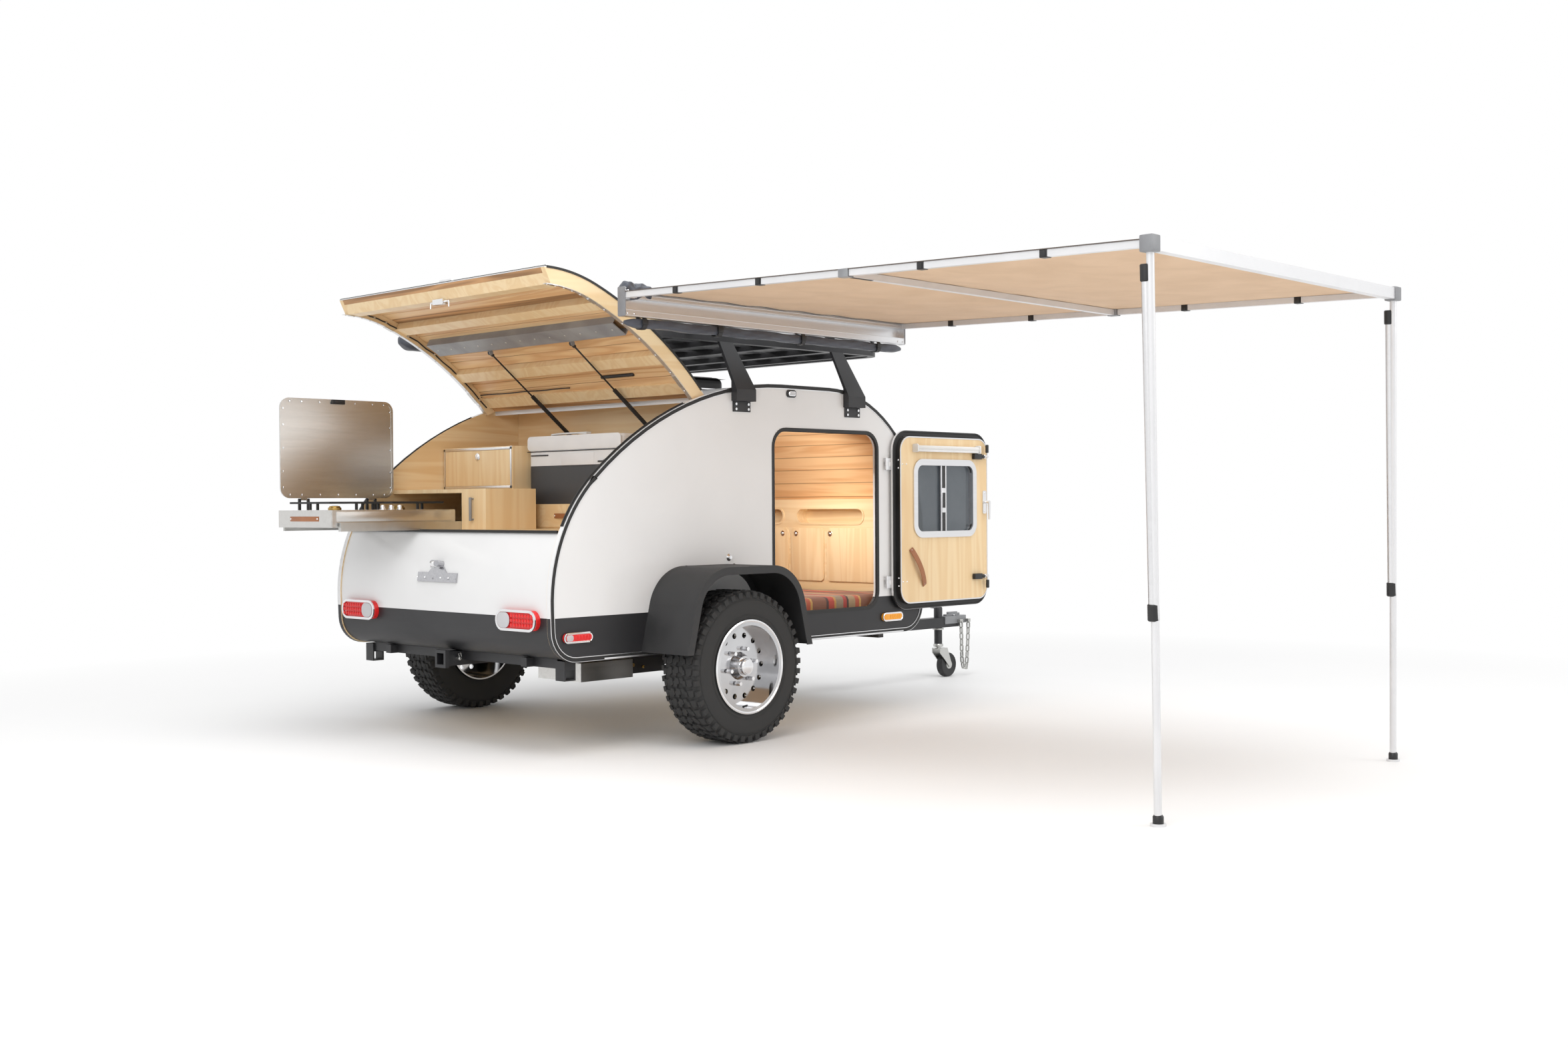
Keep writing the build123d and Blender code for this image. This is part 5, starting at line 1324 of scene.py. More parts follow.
@dataclass
class Hatch:
    """Boards, ribs' strips, latch, lamp and wiring of the raised hatch.

    Args:
        half: half width of the boarded lining.
        board: width of one board.
        face: how deep under the outline the boards start.
        cover: a board's share of its width.
    """

    half: float = 759.0
    board: float = 56.0
    face: float = 32.1
    cover: float = 0.93

    def boards(self) -> None:
        """Lay the tongue and groove boards over the lining's inner face."""
        corners = ((self.face, 0.0), (self.face, 0.5), (self.face, 1.0), (34.6, 0.965), (34.8, 0.5),
                   (34.6, 0.035))
        for label, (x, z, radius), start, end in (("upper", ROOF_ARC, 17.2, 41.9),
                                                  ("lower", TAIL_ARC, 42.1, 64.0)):
            step = self.board / (radius - self.face)
            wide = math.degrees(step) * self.cover
            first = Piece(f"hatch_board_{label}", "hatch", CEDAR_BOARD)
            section = [hatch_spot(start + wide * share, inset) for inset, share in corners]
            first.prism(section, "xz", -self.half, self.half, 0.0)
            middle_x, middle_z = lifted(x, z)
            count = int(math.radians(end - start) / step)
            Repeats.copies(first, count, turn=(0.0, -step, 0.0), centre=(middle_x, 0.0, middle_z), crease=20)

    def strips(self) -> None:
        """Run the metal strips, their screws and the dark skin edge along both ribs."""
        spots = []
        turns = [17.0 + k for k in range(48)]
        for sign, side in ((-1, "right"), (1, "left")):
            strip = Piece(f"hatch_rib_strip_{side}", "hatch", ALUMINIUM)
            route = [(x, sign * 774.0, z) for x, z in (hatch_spot(turn, 77.0) for turn in turns)]
            strip.sweep(route, bar(11.5, 1.1))
            strip.use(RUBBER)
            route = [(x, sign * 786.6, z) for x, z in (hatch_spot(turn, 8.0) for turn in turns)]
            strip.sweep(route, [(-3.2, -5.0), (2.2, -5.0), (2.2, 5.0), (-3.2, 5.0)])
            strip.use(STAINLESS)
            for turn in (21.0, 42.0, 60.0):
                route = [(x, sign * 774.0, z) for x,
                         z in (hatch_spot(turn + k, 79.0) for k in (-1.2, 0.0, 1.2))]
                strip.sweep(route, bar(12.6, 1.0))
            strip.done(50)
            for turn in range(19, 64, 4):
                x, z = hatch_spot(turn, 79.5)
                before, after = hatch_spot(turn - 1, 79.5), hatch_spot(turn + 1, 79.5)
                way = Vector((after[0] - before[0], 0, after[1] - before[1])).normalized()
                normal = Vector((way.z, 0, -way.x))
                inner = Vector((hatch_spot(turn, 120)[0] - x, 0, hatch_spot(turn, 120)[1] - z))
                spots.append(((x, sign * 774.0, z), normal if normal.dot(inner) > 0 else -normal))
        Repeats.heads("hatch_strip_screws", "hatch", spots, 4.6, 2.4, CHROME)

    def hardware(self) -> None:
        """Add the edge seal, the latch, its handle, the lamp and the clipped wiring."""
        fit = Piece("hatch_hardware", "hatch", CHROME)
        x, z = hatch_spot(62.5, 84.0)
        inner_x, inner_z = hatch_spot(62.5, 110.0)
        fit.rod((x, -70, z), (x, 70, z), 5.0, 14).rod((x, -70, z), (inner_x, -70, inner_z), 4.0, 12)
        fit.rod((x, 70, z), (inner_x, 70, inner_z), 4.0, 12)
        fit.block((x - 14, -40, z - 12), (x + 14, 40, z + 12), 3.0)
        out_x, out_z = hatch_spot(60.0, 4.0)
        far_x, far_z = hatch_spot(60.0, -16.0)
        fit.lathe([(0, 0), (22, 0), (22, 3), (12, 6), (9, 17), (0, 18)], (out_x, 0, out_z),
                  (far_x - out_x, 0, far_z - out_z), 24)
        fit.rod((far_x, -48, far_z), (far_x, 48, far_z), 6.5, 14, 3.0)
        fit.use(BLACK_SATIN)
        lamp_x, lamp_z = hatch_spot(22.0, 37.0)
        fit.rod((lamp_x, -470, lamp_z), (lamp_x, -240, lamp_z), 9.0, 16, 4.0)
        wires = [(hatch_spot(turn, 60.0 + 3.0 * math.sin(turn * 1.7))) for turn in range(18, 62, 2)]
        fit.tube([(a, 757.0, b) for a, b in wires], 3.4, 8)
        fit.tube([(a, 757.0, b) for a, b in [hatch_spot(20.0, 44.0), hatch_spot(20.0, 42.0)]], 3.0, 8)
        side_x, side_z = hatch_spot(20.5, 44.0)
        fit.tube([(side_x, 750 - 60 * k, side_z + 1.2 * math.sin(k * 1.3)) for k in range(13)], 3.0, 8)
        edge = [(hatch_spot(64.4, 6.0)[0], y, hatch_spot(64.4, 6.0)[1]) for y in (-786, 0, 786)]
        fit.use(RUBBER).tube(edge, 5.0, 10)
        fit.use(ZINC)
        for turn in range(20, 60, 6):
            a, b = hatch_spot(turn, 60.0 + 3.0 * math.sin(turn * 1.7))
            fit.rod((a, 753, b), (a, 761, b), 5.6, 12)
        fit.done()

    def channel(self) -> None:
        """Add rivets to the cross channel."""
        spots = []
        for y in range(-660, 661, 110):
            x, z = hatch_spot(33.5, 73.2)
            inner = hatch_spot(33.5, 120.0)
            spots.append(((x, y, z), (inner[0] - x, 0, inner[1] - z)))
        Repeats.heads("hatch_channel_rivets", "hatch", spots, 5.0, 2.0, ZINC)

    def build(self) -> None:
        """Build the hatch's parts."""
        self.boards()
        self.strips()
        self.hardware()
        self.channel()


@dataclass
class Doors:
    """Window surrounds, latches, seals, shade and strap of the two doors.

    Args:
        open_shift: x of the hinge line, about which the open door is turned.
    """

    open_shift: float = 1258.0

    def _x(self, x: float, side: str) -> float:
        """Return where a closed door's x lies on this side's door at rest."""
        return 2 * self.open_shift - x if side == "right" else x

    def face(self, side: str) -> None:
        """Seal the door's edge and frame its window on the cabin side.

        Args:
            side: right for the open door, left for the shut one.
        """
        body = f"door_{side}"
        inner_y = -865.0 if side == "right" else 795.0
        flange_y = -839.0 if side == "right" else 821.0
        x0, x1 = sorted((self._x(426.0, side), self._x(1222.0, side)))
        seal = Piece(f"door_edge_seal_{side}", body, RUBBER)
        edges = (
            (RUBBER, 5.0, flange_y - 3.0,
             [(-1.2, -3.4), (0.4, -4.4), (3.4, -3.6), (3.4, 3.6), (0.4, 4.4), (-1.2, 3.4)]),
            (RUBBER, 19.0, flange_y, [(-1.2, -10.4), (0.2, -10.4), (0.2, 10.4), (-1.2, 10.4)]),
            (RUBBER, 31.2, (flange_y + inner_y) / 2,
             [(-11.0, -1.0), (13.0, -1.0), (13.0, 1.0), (-11.0, 1.0)]),
            (ALUMINIUM, 1.5, flange_y - 0.4, [(-1.5, -1.6), (1.8, -1.2), (1.8, 1.2), (-1.5, 1.6)]),
            (ALUMINIUM, 34.0, inner_y - 0.6, [(-1.2, -3.2), (1.0, -3.4), (1.0, 3.4), (-1.2, 3.2)]),
        )
        for finish, inset, y, section in edges:
            route = ring_of(x0 + inset, x1 - inset, 511 + inset, 1429 - inset, 105 - inset, y)
            seal.use(finish).sweep(route, section, closed=True)
        seal.done(50)
        mid = self._x(824.0, side)
        frame = Piece(f"window_trim_{side}", body, ALUMINIUM)
        for level, reach in ((inner_y - 1.6, 0.0), (inner_y - 4.0, 9.0)):
            route = ring_of(mid - 250 + reach, mid + 250 - reach, 892 + reach, 1268 - reach, 60 - reach,
                            level)
            frame.sweep(route, [(-2.0, -13.0 + reach), (1.6, -11.5 + reach), (2.2, 0.0), (1.6, 11.5 - reach),
                                (-2.0, 13.0 - reach)], closed=True)
        frame.use(BLACK_SATIN)
        glass_y = inner_y + 9.0
        frame.block((mid - 28, glass_y - 7, 902), (mid + 4, glass_y - 1, 1258), 2.0)
        frame.block((mid - 24, glass_y - 12, 1030), (mid + 1, glass_y - 6, 1110), 3.0)
        route = ring_of(mid - 238, mid + 238, 903, 1257, 50, glass_y - 3)
        frame.sweep(route, bar(4, 4.5), closed=True)
        frame.use(ALUMINIUM)
        for x in (mid - 33, mid + 4):
            frame.block((x, glass_y - 9, 900), (x + 9, glass_y, 1260), 1.5)
        frame.block((mid - 26, glass_y - 11, 1006), (mid + 3, glass_y - 7, 1134), 1.5)
        frame.done(50)
        around = rounded(mid - 250, mid + 250, 892, 1268, 60, 2)
        around += [(mid + dx, z) for dx in (-95, 0, 95) for z in (892, 1268)]
        around += [(mid + dx, z) for dx in (-250, 250) for z in (1030, 1130)]
        spots = [((x, inner_y - 4.2, z), (0, -1, 0)) for x, z in around]
        Repeats.heads(f"window_trim_screws_{side}", body, spots, 4.4, 2.2, CHROME)

    def cabin_side(self) -> None:
        """Add the open door's shade, latches, lever and leather strap."""
        y = -865.0
        shade = Piece("door_shade", "door_right", CANVAS_SHADE)
        shade.rod((1432, y - 17, 1338), (1952, y - 17, 1338), 15.0, 24, 3.0)
        shade.use(WHITE_MOULD)
        for x in (1424, 1953):
            shade.prism(rounded(y - 36, y + 0.5, 1316, 1360, 9), "yz", x, x + 9, 1.4)
        shade.block((1436, y - 31, 1320), (1948, y - 24, 1331), 2.0)
        shade.done()
        lever = Piece("door_latches", "door_right", BLACK_SATIN)
        for z, rise in ((1303, 1), (662, -1)):
            lever.block((1925, y - 20, z - 15), (1992, y + 0.5, z + 15), 4.0)
            lever.rod((1990, y - 12, z), (2014, y - 12, z), 10.0, 20, 2.0)
            lever.rod((2028, y - 24, z + rise * 20), (2028, y - 24, z + rise * 64), 9.0, 18, 2.5)
        lever.use(CHROME)
        for z, rise in ((1303, 1), (662, -1)):
            lever.rod((2012, y - 12, z), (2044, y - 12, z), 11.0, 20, 2.0)
            lever.rod((2028, y + 0.5, z), (2028, y - 28, z), 9.0, 18, 2.0)
            lever.rod((2028, y - 24, z), (2028, y - 24, z + rise * 22), 5.0, 14)
        lever.prism(rounded(2014, 2046, 997, 1121, 10), "xz", y - 5, y + 0.5, 1.5)
        lever.rod((2038, y - 4, 1059), (2038, y - 34, 1059), 9.0, 18, 2.0)
        lever.rod((2036, y - 32, 1064), (2030, y - 36, 966), 8.0, 18, 3.0, 5.5)
        for z in (1010, 1108):
            lever.rod((2030, y - 7, z), (2030, y - 4, z), 5.0, 16, 1.0)
        lever.done()
        strap = Piece("door_strap", "door_right", LEATHER)
        route = []
        for k in range(13):
            share = k / 12
            bow = 20.0 * math.sin(math.pi * share) ** 0.8
            route.append((1405 + 110 * share, y - 2.6 - bow, 822 - 190 * share))
        strap.sweep(route, bar(15, 1.8), side=(0.86, 0, 0.5))
        strap.done(50)
        spots = [((1410, y - 4.4, 814), (0, -1, 0)), ((1510, y - 4.4, 640), (0, -1, 0))]
        Repeats.heads("door_strap_screws", "door_right", spots, 6.0, 3.0, CHROME)
        spots = [((1302 + dx, y, z + dz), (0, -1, 0)) for z in (655, 1255)
                 for dx, dz in ((42, 0), (74, 0), (8, 20), (8, -20))]
        Repeats.heads("door_hinge_nuts", "door_right", spots, 4.4, 2.4, CHROME)

    def outside(self, side: str) -> None:
        """Add the outer handle, the hinge leaves and barrels, and the hinge screws."""
        body = f"door_{side}"
        y = -829.0 if side == "right" else 831.0
        x = self._x(486.0, side)
        handle = Piece(f"door_handle_{side}", body, CHROME)
        handle.prism(rounded(x - 34, x + 34, 962, 1046, 16), "xz", y - 0.5, y + 5.0, 1.6)
        handle.block((x - 26, y + 4, 992), (x + 26, y + 15, 1012), 4.0)
        handle.lathe([(0, 0), (8, 0), (8, 2), (5, 3), (0, 3)], (x, y + 5, 1030), (0, 1, 0), 20)
        handle.done()
        z_spots = (655.0, 1255.0)
        hinge_x = self.open_shift
        leaf = Piece(f"door_hinge_leaf_{side}", body, ALUMINIUM)
        for z in z_spots:
            near = hinge_x + (12 if side == "right" else -62)
            leaf.prism(rounded(near, near + 50, z - 30, z + 30, 6), "xz", y - 0.4, y + 2.6, 0.8)
        leaf.done()
        barrel = Piece(f"door_hinge_barrels_{side}", body, ALUMINIUM)
        line_y = both(side) * 830.0
        for z in z_spots:
            barrel.lathe([(7.1, -30), (8.2, -30), (8.2, -10.4), (7.6, -10), (8.2, -9.6), (8.2, 9.6),
                          (7.6, 10),
                          (8.2, 10.4), (8.2, 30), (7.1, 30), (7.1, -30)], (hinge_x, line_y, z), (0, 0, 1), 24)
            barrel.lathe([(0, 30), (5, 30), (5, 33), (0, 34)], (hinge_x, line_y, z), (0, 0, 1), 18)
        barrel.done()
        spots = [((hinge_x + (38 if side == "right" else -38), y + 2.4, z + dz), (0, 1, 0))
                 for z in z_spots for dz in (-18, 18)]
        Repeats.heads(f"door_hinge_screws_{side}", body, spots, 4.6, 2.2, CHROME)

    def build(self) -> None:
        """Build both doors' fittings."""
        for side in ("right", "left"):
            self.face(side)
            self.outside(side)
        self.cabin_side()


@dataclass
class RunningGear:
    """Tyres with tread, wheel fittings, guards, tongue fittings and hitch.

    Args:
        tyre_radius: tread radius.
        tyre_y: distance of the tyre's middle from the centre line.
        tyre_width: the tyre's width.
    """

    tyre_radius: float = 338.0
    tyre_y: float = 988.0
    tyre_width: float = 216.0

    def tyre(self, side: str) -> None:
        """Turn the carcass and set the tread blocks and the side lugs round it."""
        sign = both(side)
        body = f"wheel_{side}"
        centre = (0.0, sign * self.tyre_y, self.tyre_radius)
        half = self.tyre_width / 2
        floor = self.tyre_radius - 9.0
        profile = [(192, -half + 16), (206, -half + 9), (222, -half + 3), (255, -half), (285, -half + 2),
                   (312, -half + 9), (floor - 2, -half + 24), (floor, -half + 40), (floor, 0),
                   (floor, half - 40),
                   (floor - 2, half - 24), (312, half - 9), (285, half - 2), (255, half), (222, half - 3),
                   (206, half - 9), (192, half - 16), (192, -half + 16)]
        made = Piece(f"tyre_carcass_{side}", body, TYRE)
        made.lathe(profile, centre, (0, sign, 0), 96)
        for radius in (226.0, 231.5, 296.0):
            y = half - (2.6 if radius < 240 else 4.2)
            made.lathe([(radius, y - 2), (radius + 0.8, y + 1.2), (radius + 2.4, y + 1.2),
                        (radius + 3.2, y - 2),
                        (radius, y - 2)], centre, (0, sign, 0), 96)
        carcass = made.done(50)
        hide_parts(f"tyre_{side}")
        count = 44
        step = 2 * math.pi / count
        blocks = Piece(f"tyre_tread_{side}", body, TYRE)
        mid_y, top = centre[1], centre[2] + self.tyre_radius

        def lug(corners: Pairs, low: float, high: float) -> None:
            """Add one tread block from its plan, along the tread and across it."""
            blocks.prism([(a, mid_y + sign * b) for a, b in corners], "xy", top - low, top - high, 1.4)

        lug([(-20, -26), (2, -30), (12, -16), (22, -14), (16, 6), (-6, 8), (-10, -6), (-22, -8)], 12.0, 0.2)
        lug([(-4, 14), (18, 10), (22, 30), (8, 34), (6, 46), (-14, 48), (-18, 30), (-6, 28)], 12.0, 0.2)
        lug([(-18, -66), (6, -70), (10, -54), (20, -50), (16, -34), (-8, -32), (-20, -46)], 12.0, 0.2)
        lug([(-12, 54), (12, 50), (16, 68), (18, 84), (-10, 86), (-20, 70)], 13.5, 0.9)
        lug([(-20, -86), (4, -88), (10, -74), (6, -70), (-18, -72)], 13.5, 0.9)
        for y, shift in ((97.0, 0.0), (-97.0, 11.0)):
            lug([(-16 + shift, y - 9), (8 + shift, y - 9), (8 + shift, y + 7), (-16 + shift, y + 7)], 34.0,
                7.0)
        tread = Repeats.copies(blocks, count, turn=(0.0, step, 0.0), centre=centre, crease=30)
        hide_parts(f"tyre_{side}")

    def wheel(self, side: str) -> None:
        """Add the bright lip, the nuts, the hub cap and the valve."""
        sign = both(side)
        body = f"wheel_{side}"
        face = sign * 1034.0
        hub = Piece(f"hub_cap_{side}", body, CHROME)
        hub.lathe([(0, 0), (37, 0), (37, 20), (35, 24), (33, 24), (31, 27), (14, 30), (0, 31)],
                  (0, sign * 1058.0, 338), (0, sign, 0), 40)
        hub.lathe([(193, 0), (206, 0), (209, 3), (209, 6), (203, 7.5), (194, 4), (193, 0)],
                  (0, sign * 1091.5, 338), (0, sign, 0), 72)
        hub.use(BLACK_SATIN)
        hub.rod((0, sign * 1050, 338 - 180), (0, sign * 1078, 338 - 172), 4.5, 12)
        hub.done()
        spots = [((56 * math.sin(k * math.pi / 3 + 0.3) * 1.42, face + sign * 3.0,
                   338 + 56 * math.cos(k * math.pi / 3 + 0.3) * 1.42), (0, sign, 0)) for k in range(6)]
        Repeats.heads(f"wheel_nuts_{side}", body, spots, 11.5, 26.0, CHROME, 6, 0.82)

    def tongue(self) -> None:
        """Add the jack's collar and crank, the coupler's lever, the wiring box and the hitch rod."""
        gear = Piece("tongue_fittings", "trailer", ZINC)
        gear.lathe([(24.5, 0), (30, 0), (30, 12), (27, 16), (24.5, 16), (24.5, 0)], (2724, 0, 188),
                   (0, 0, 1), 32)
        gear.lathe([(24.5, 0), (34, 0), (34, 8), (24.5, 8), (24.5, 0)], (2724, 0, 290), (0, 0, 1), 32)
        gear.use(POWDER)
        gear.lathe([(0, 0), (26, 0), (26, 60), (22, 66), (0, 68)], (2724, 0, 361), (0, 0, 1), 32)
        gear.rod((2724, 0, 420), (2724, 60, 424), 6.0, 14).rod((2724, 58, 424), (2724, 58, 452), 9.0, 16, 4.0)
        gear.use(GREY_PAINT)
        gear.block((2790, -14, 366), (2890, 14, 378), 3.0)
        gear.block((2815, -8, 376), (2905, 8, 392), 3.0)
        gear.use(CHROME).rod((2850, -26, 373), (2850, 26, 373), 4.0, 12)
        gear.use(WHITE_MOULD)
        gear.block((1765, -75, 362.4), (1925, 75, 412), 7.0).block((1760, -80, 404), (1930, 80, 418), 6.0)
        gear.use(BLACK_SATIN)
        gear.block((1830, -84, 380), (1862, -78, 398), 2.5)
        gear.done()
        pin = Piece("hitch_pin", "trailer", ZINC)
        pin.rod((-800, -58, 370), (-800, 66, 370), 7.5, 18, 2.0)
        pin.rod((-800, 64, 370), (-800, 70, 340), 7.5, 16, 3.0)
        pin.tube([(-800, -52, 376), (-806, -52, 392), (-794, -52, 396), (-790, -52, 378)], 1.6, 8)
        pin.use(BRASS).rod((-225, -563, 330), (-225, -578, 330), 9.0, 6, 1.5)
        pin.rod((-160, -563, 318), (-160, -574, 318), 7.0, 6, 1.5)
        pin.done()
        caster = Piece("caster_hub", "caster_wheel", ZINC)
        for sign in (-1, 1):
            caster.lathe([(0, 0), (26, 0), (24, 3), (12, 3), (10, 4.4), (0, 4.4)], (2802, sign * 21.8, 73),
                         (0, sign, 0), 28)
        caster.done()

    def guards(self) -> None:
        """Screw the mudguards to the walls."""
        spots = []
        for sign in (-1, 1):
            for x in (-150, 0, 150):
                way = Vector((x, 0, 306)).normalized()
                spots.append(((x + way.x, sign * 850.0, 781.0), way))
        Repeats.heads("mudguard_screws", "trailer", spots, 6.0, 2.6, BLACK_SATIN)

    def build(self) -> None:
        """Build the running gear's pieces."""
        for side in ("right", "left"):
            self.tyre(side)
            self.wheel(side)
        self.tongue()
        self.guards()


@dataclass
class RoofGear:
    """Rack hardware, the vent, the awning's case, arms, bags and canvas.

    Args:
        leg_x: middle of each pair of rack legs.
        arm_x: the two awning arms.
        house_y: where the arms start.
        rail_y: where the canvas ends.
    """

    leg_x: tuple[float, float] = (235.0, 1010.0)
    arm_x: tuple[float, float] = (-598.0, 1211.0)
    house_y: float = -982.6
    rail_y: float = -3475.0

    def arm_z(self, y: float) -> float:
        """Return the arms' height at a distance from the body."""
        return 1934.0 - 68.0 * (self.house_y - y) / (self.house_y - self.rail_y)

    def rack(self) -> None:
        """Bolt the legs' plates and rib their feet."""
        spots = []
        ribs = Piece("rack_leg_ribs", "trailer", POWDER)
        for sign in (-1, 1):
            for x in self.leg_x:
                for dx in (-40, 40):
                    for z in (1494, 1517):
                        spots.append(((x + dx, sign * 821.4, z), (0, sign, 0)))
                for k in range(5):
                    near = x - 52 + 26 * k
                    ribs.block((near - 3.5, sign * 831 - 5, 1536), (near + 3.5, sign * 831 + 5, 1578), 1.5)
        ribs.done()
        Repeats.heads("rack_plate_bolts", "trailer", spots, 7.5, 5.0, CHROME, 6, 0.9)
        caps = [((x, sign * 721.0, 1846.0), (0, 0, 1)) for x in (-60, 280, 620, 960, 1240)
                for sign in (-1, 1)]
        Repeats.heads("rack_rail_bolts", "trailer", caps, 7.0, 3.0, POWDER, 12, 0.8)

    def vent(self) -> None:
        """Put the domed lid and its bright base on the roof vent."""
        dome = Piece("roof_vent_lid", "trailer", BLACK_SATIN)
        rows = []
        for a in range(13):
            row = []
            for b in range(13):
                u, v = -1 + a / 6, -1 + b / 6
                height = 14.0 * (1 - u ** 4) * (1 - v ** 4)
                row.append((602 + 166 * u, 174 * v, 1694 + height))
            rows.append(row)
        dome.grid(rows)
        for y in (-90, 0, 90):
            dome.block((456, y - 4, 1702), (748, y + 4, 1708.5), 2.5)
        dome.use(CHROME)
        dome.sweep([Vector((x, y, 1640)) for x, y in rounded(432, 772, -178, 178, 20, 5)],
                   bar(3, 7), side=(0, 0, 1), closed=True)
        dome.done()

    def case(self) -> None:
        """Add the extrusion's lines, end caps and screws to the awning case."""
        trim = Piece("awning_case_ribs", "trailer", ALUMINIUM)
        for z, proud in ((1849.5, 1.6), (1872.0, 1.4), (1924.5, 1.4), (1938.0, 1.8), (1962.0, 1.6)):
            trim.block((-610, -982 - proud, z), (1223, -979, z + 3.6), 1.0)
        trim.use(GREY_PAINT)
        for x in (-614, 1222):
            trim.prism(rounded(-985, -937, 1845, 1970, 7), "yz", x, x + 5, 1.4)
        trim.done()
        spots = [((x, -983, z), (0, -1, 0)) for x in (-596, -560, 1170, 1209) for z in (1857, 1954)]
        Repeats.heads("awning_case_screws", "trailer", spots, 4.6, 2.2, CHROME)

    def arms(self) -> None:
        """Strap the canvas to the arms and add the joints, brackets, collars and feet."""
        gear = Piece("awning_arm_fittings", "trailer", BLACK_SATIN)
        for x in self.arm_x:
            for y in (-1290, -1760, -2210, -2560, -3080):
                z = self.arm_z(y)
                gear.block((x - 14.6, y - 15, z - 14.4), (x + 14.6, y + 15, z + 14.2), 2.0)
                gear.block((x - 17.0, y - 10, z - 12), (x - 13.6, y + 10, z + 9), 1.2)
            z = self.arm_z(-2200)
            gear.use(GREY_PAINT).block((x - 18, -2224, z - 16), (x + 18, -2176, z + 16), 3.0)
            gear.use(BLACK_SATIN)
        near, far = self.arm_x
        z = self.arm_z(-2200)
        gear.block((near + 22, -2209, z - 15), (near + 150, -2191, z + 12), 5.0)
        gear.use(GREY_PAINT)
        for x in self.arm_x:
            gear.block((x - 25, -3499, 1838), (x + 25, -3449, 1893), 6.0)
            gear.use(BLACK_SATIN)
            gear.lathe([(0, 0), (16, 0), (18, 6), (18, 30), (14, 36), (0, 36)], (x + 151, -3406, 0.4),
                       (0, 0, 1), 24)
            gear.use(GREY_PAINT)
        gear.done()
        for x, name in ((near, "rear"), (far, "front")):
            foot = Vector((x + 152, -3405, 0))
            head = Vector((x, -3458, 1850))
            way = head - foot
            pole = Piece(f"awning_pole_sleeve_{name}", "trailer", ALUMINIUM)
            pole.rod(foot + way * 0.385, foot + way * 0.955, 15.4, 20, 1.0)
            pole.use(BLACK_SATIN)
            pole.rod(foot + way * 0.362, foot + way * 0.392, 19.0, 20, 3.0)
            pole.rod(foot + way * 0.945, foot + way * 0.975, 19.0, 20, 3.0)
            pole.done()

    def canvas(self) -> None:
        """Hang the canvas between the case, the arms and the front rail."""
        x0, x1 = self.arm_x[0] - 4, self.arm_x[1] + 4
        y0, y1 = -984.0, -3457.0
        rows = []
        count_y, count_x = 56, 44
        for a in range(count_y + 1):
            share = a / count_y
            y = y0 + (y1 - y0) * share
            row = []
            for b in range(count_x + 1):
                across = b / count_x
                sag = 22.0 * math.sin(math.pi * across) ** 0.7
                sag *= math.sin(math.pi * min(1.0, share * 1.02)) ** 0.7
                sag *= 1.0 - math.exp(-((y + 2200.0) / 170.0) ** 2)
                ripple = 2.6 * math.sin(across * 46 + 1.5 * math.sin(share * 9)) * math.sin(math.pi * across)
                ripple *= (1 - share) ** 1.4
                row.append((x0 + (x1 - x0) * across, y, self.arm_z(y) + 13.4 - sag + ripple))
            rows.append(row)
        sheet = Piece("awning_cloth", "trailer", CANVAS)
        sheet.grid(rows, -1.4)
        cloth = sheet.done(60)
        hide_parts("awning_canvas")
        hems = Piece("awning_hems", "trailer", HEM)
        for b in (0, count_x):
            route = [Vector(rows[a][b]) + Vector((0, 0, 0.6)) for a in range(count_y + 1)]
            hems.sweep(route, [(-13, -1.6), (13, -1.6), (13, 1.2), (-13, 1.2)], side=(1, 0, 0))
        for a in (0, count_y):
            hems.sweep([Vector(p) for p in rows[a]], [(-14, -1.8), (14, -1.8), (14, 1.4), (-14, 1.4)],
                       side=(0, 1, 0))
        hem = hems.done(50)

    def crumpled(self, name: str, spots: Sequence[Point], width: float, height: float, node: str | None,
                 rough: float, seed: float) -> bpy.types.Object:
        """Loft a soft shell along a line, with folds that run round it.

        Args:
            name: the piece's name.
            spots: the line along its middle.
            width: its width.
            height: its height.
            node: the CAD node that it stands for, or None.
            rough: depth of its folds.
            seed: shifts the folds.

        Returns:
            The finished object.
        """
        sides = 28
        shell = Piece(name, "trailer", PVC)
        small = bmesh.new()
        rings = []
        total = len(spots) - 1
        for index, spot in enumerate(spots):
            share = index / total
            end = min(1.0, math.sin(math.pi * min(max(share, 0.004), 0.996)) * 9.0) ** 0.5
            ring = []
            for side in range(sides):
                angle = 2 * math.pi * side / sides
                fold = math.sin(angle * 5 + seed + index * 0.9)
                fold += 0.7 * math.sin(angle * 9 - index * 0.53 + seed * 2)
                fold += 0.8 * math.sin(index * 0.31 + angle * 2 + seed * 3)
                reach = 1.0 - rough * (0.5 + 0.5 * fold / 2.5)
                a = abs(math.cos(angle)) ** 0.62 * math.copysign(1, math.cos(angle))
                b = abs(math.sin(angle)) ** 0.62 * math.copysign(1, math.sin(angle))
                ring.append(small.verts.new((spot[0], spot[1] + a * width / 2 * reach * end,
                                             spot[2] + b * height / 2 * reach * end)))
            rings.append(ring)
        join_rings(small, rings)
        small.faces.new(rings[0][::-1])
        small.faces.new(rings[-1])
        shell.take(small)
        made = shell.done(70, ride=False)
        soften = made.modifiers.new("soften", "SUBSURF")
        soften.levels = 1
        soften.render_levels = 1
        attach(made, "trailer")
        if node is not None:
            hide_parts(node)
        return made

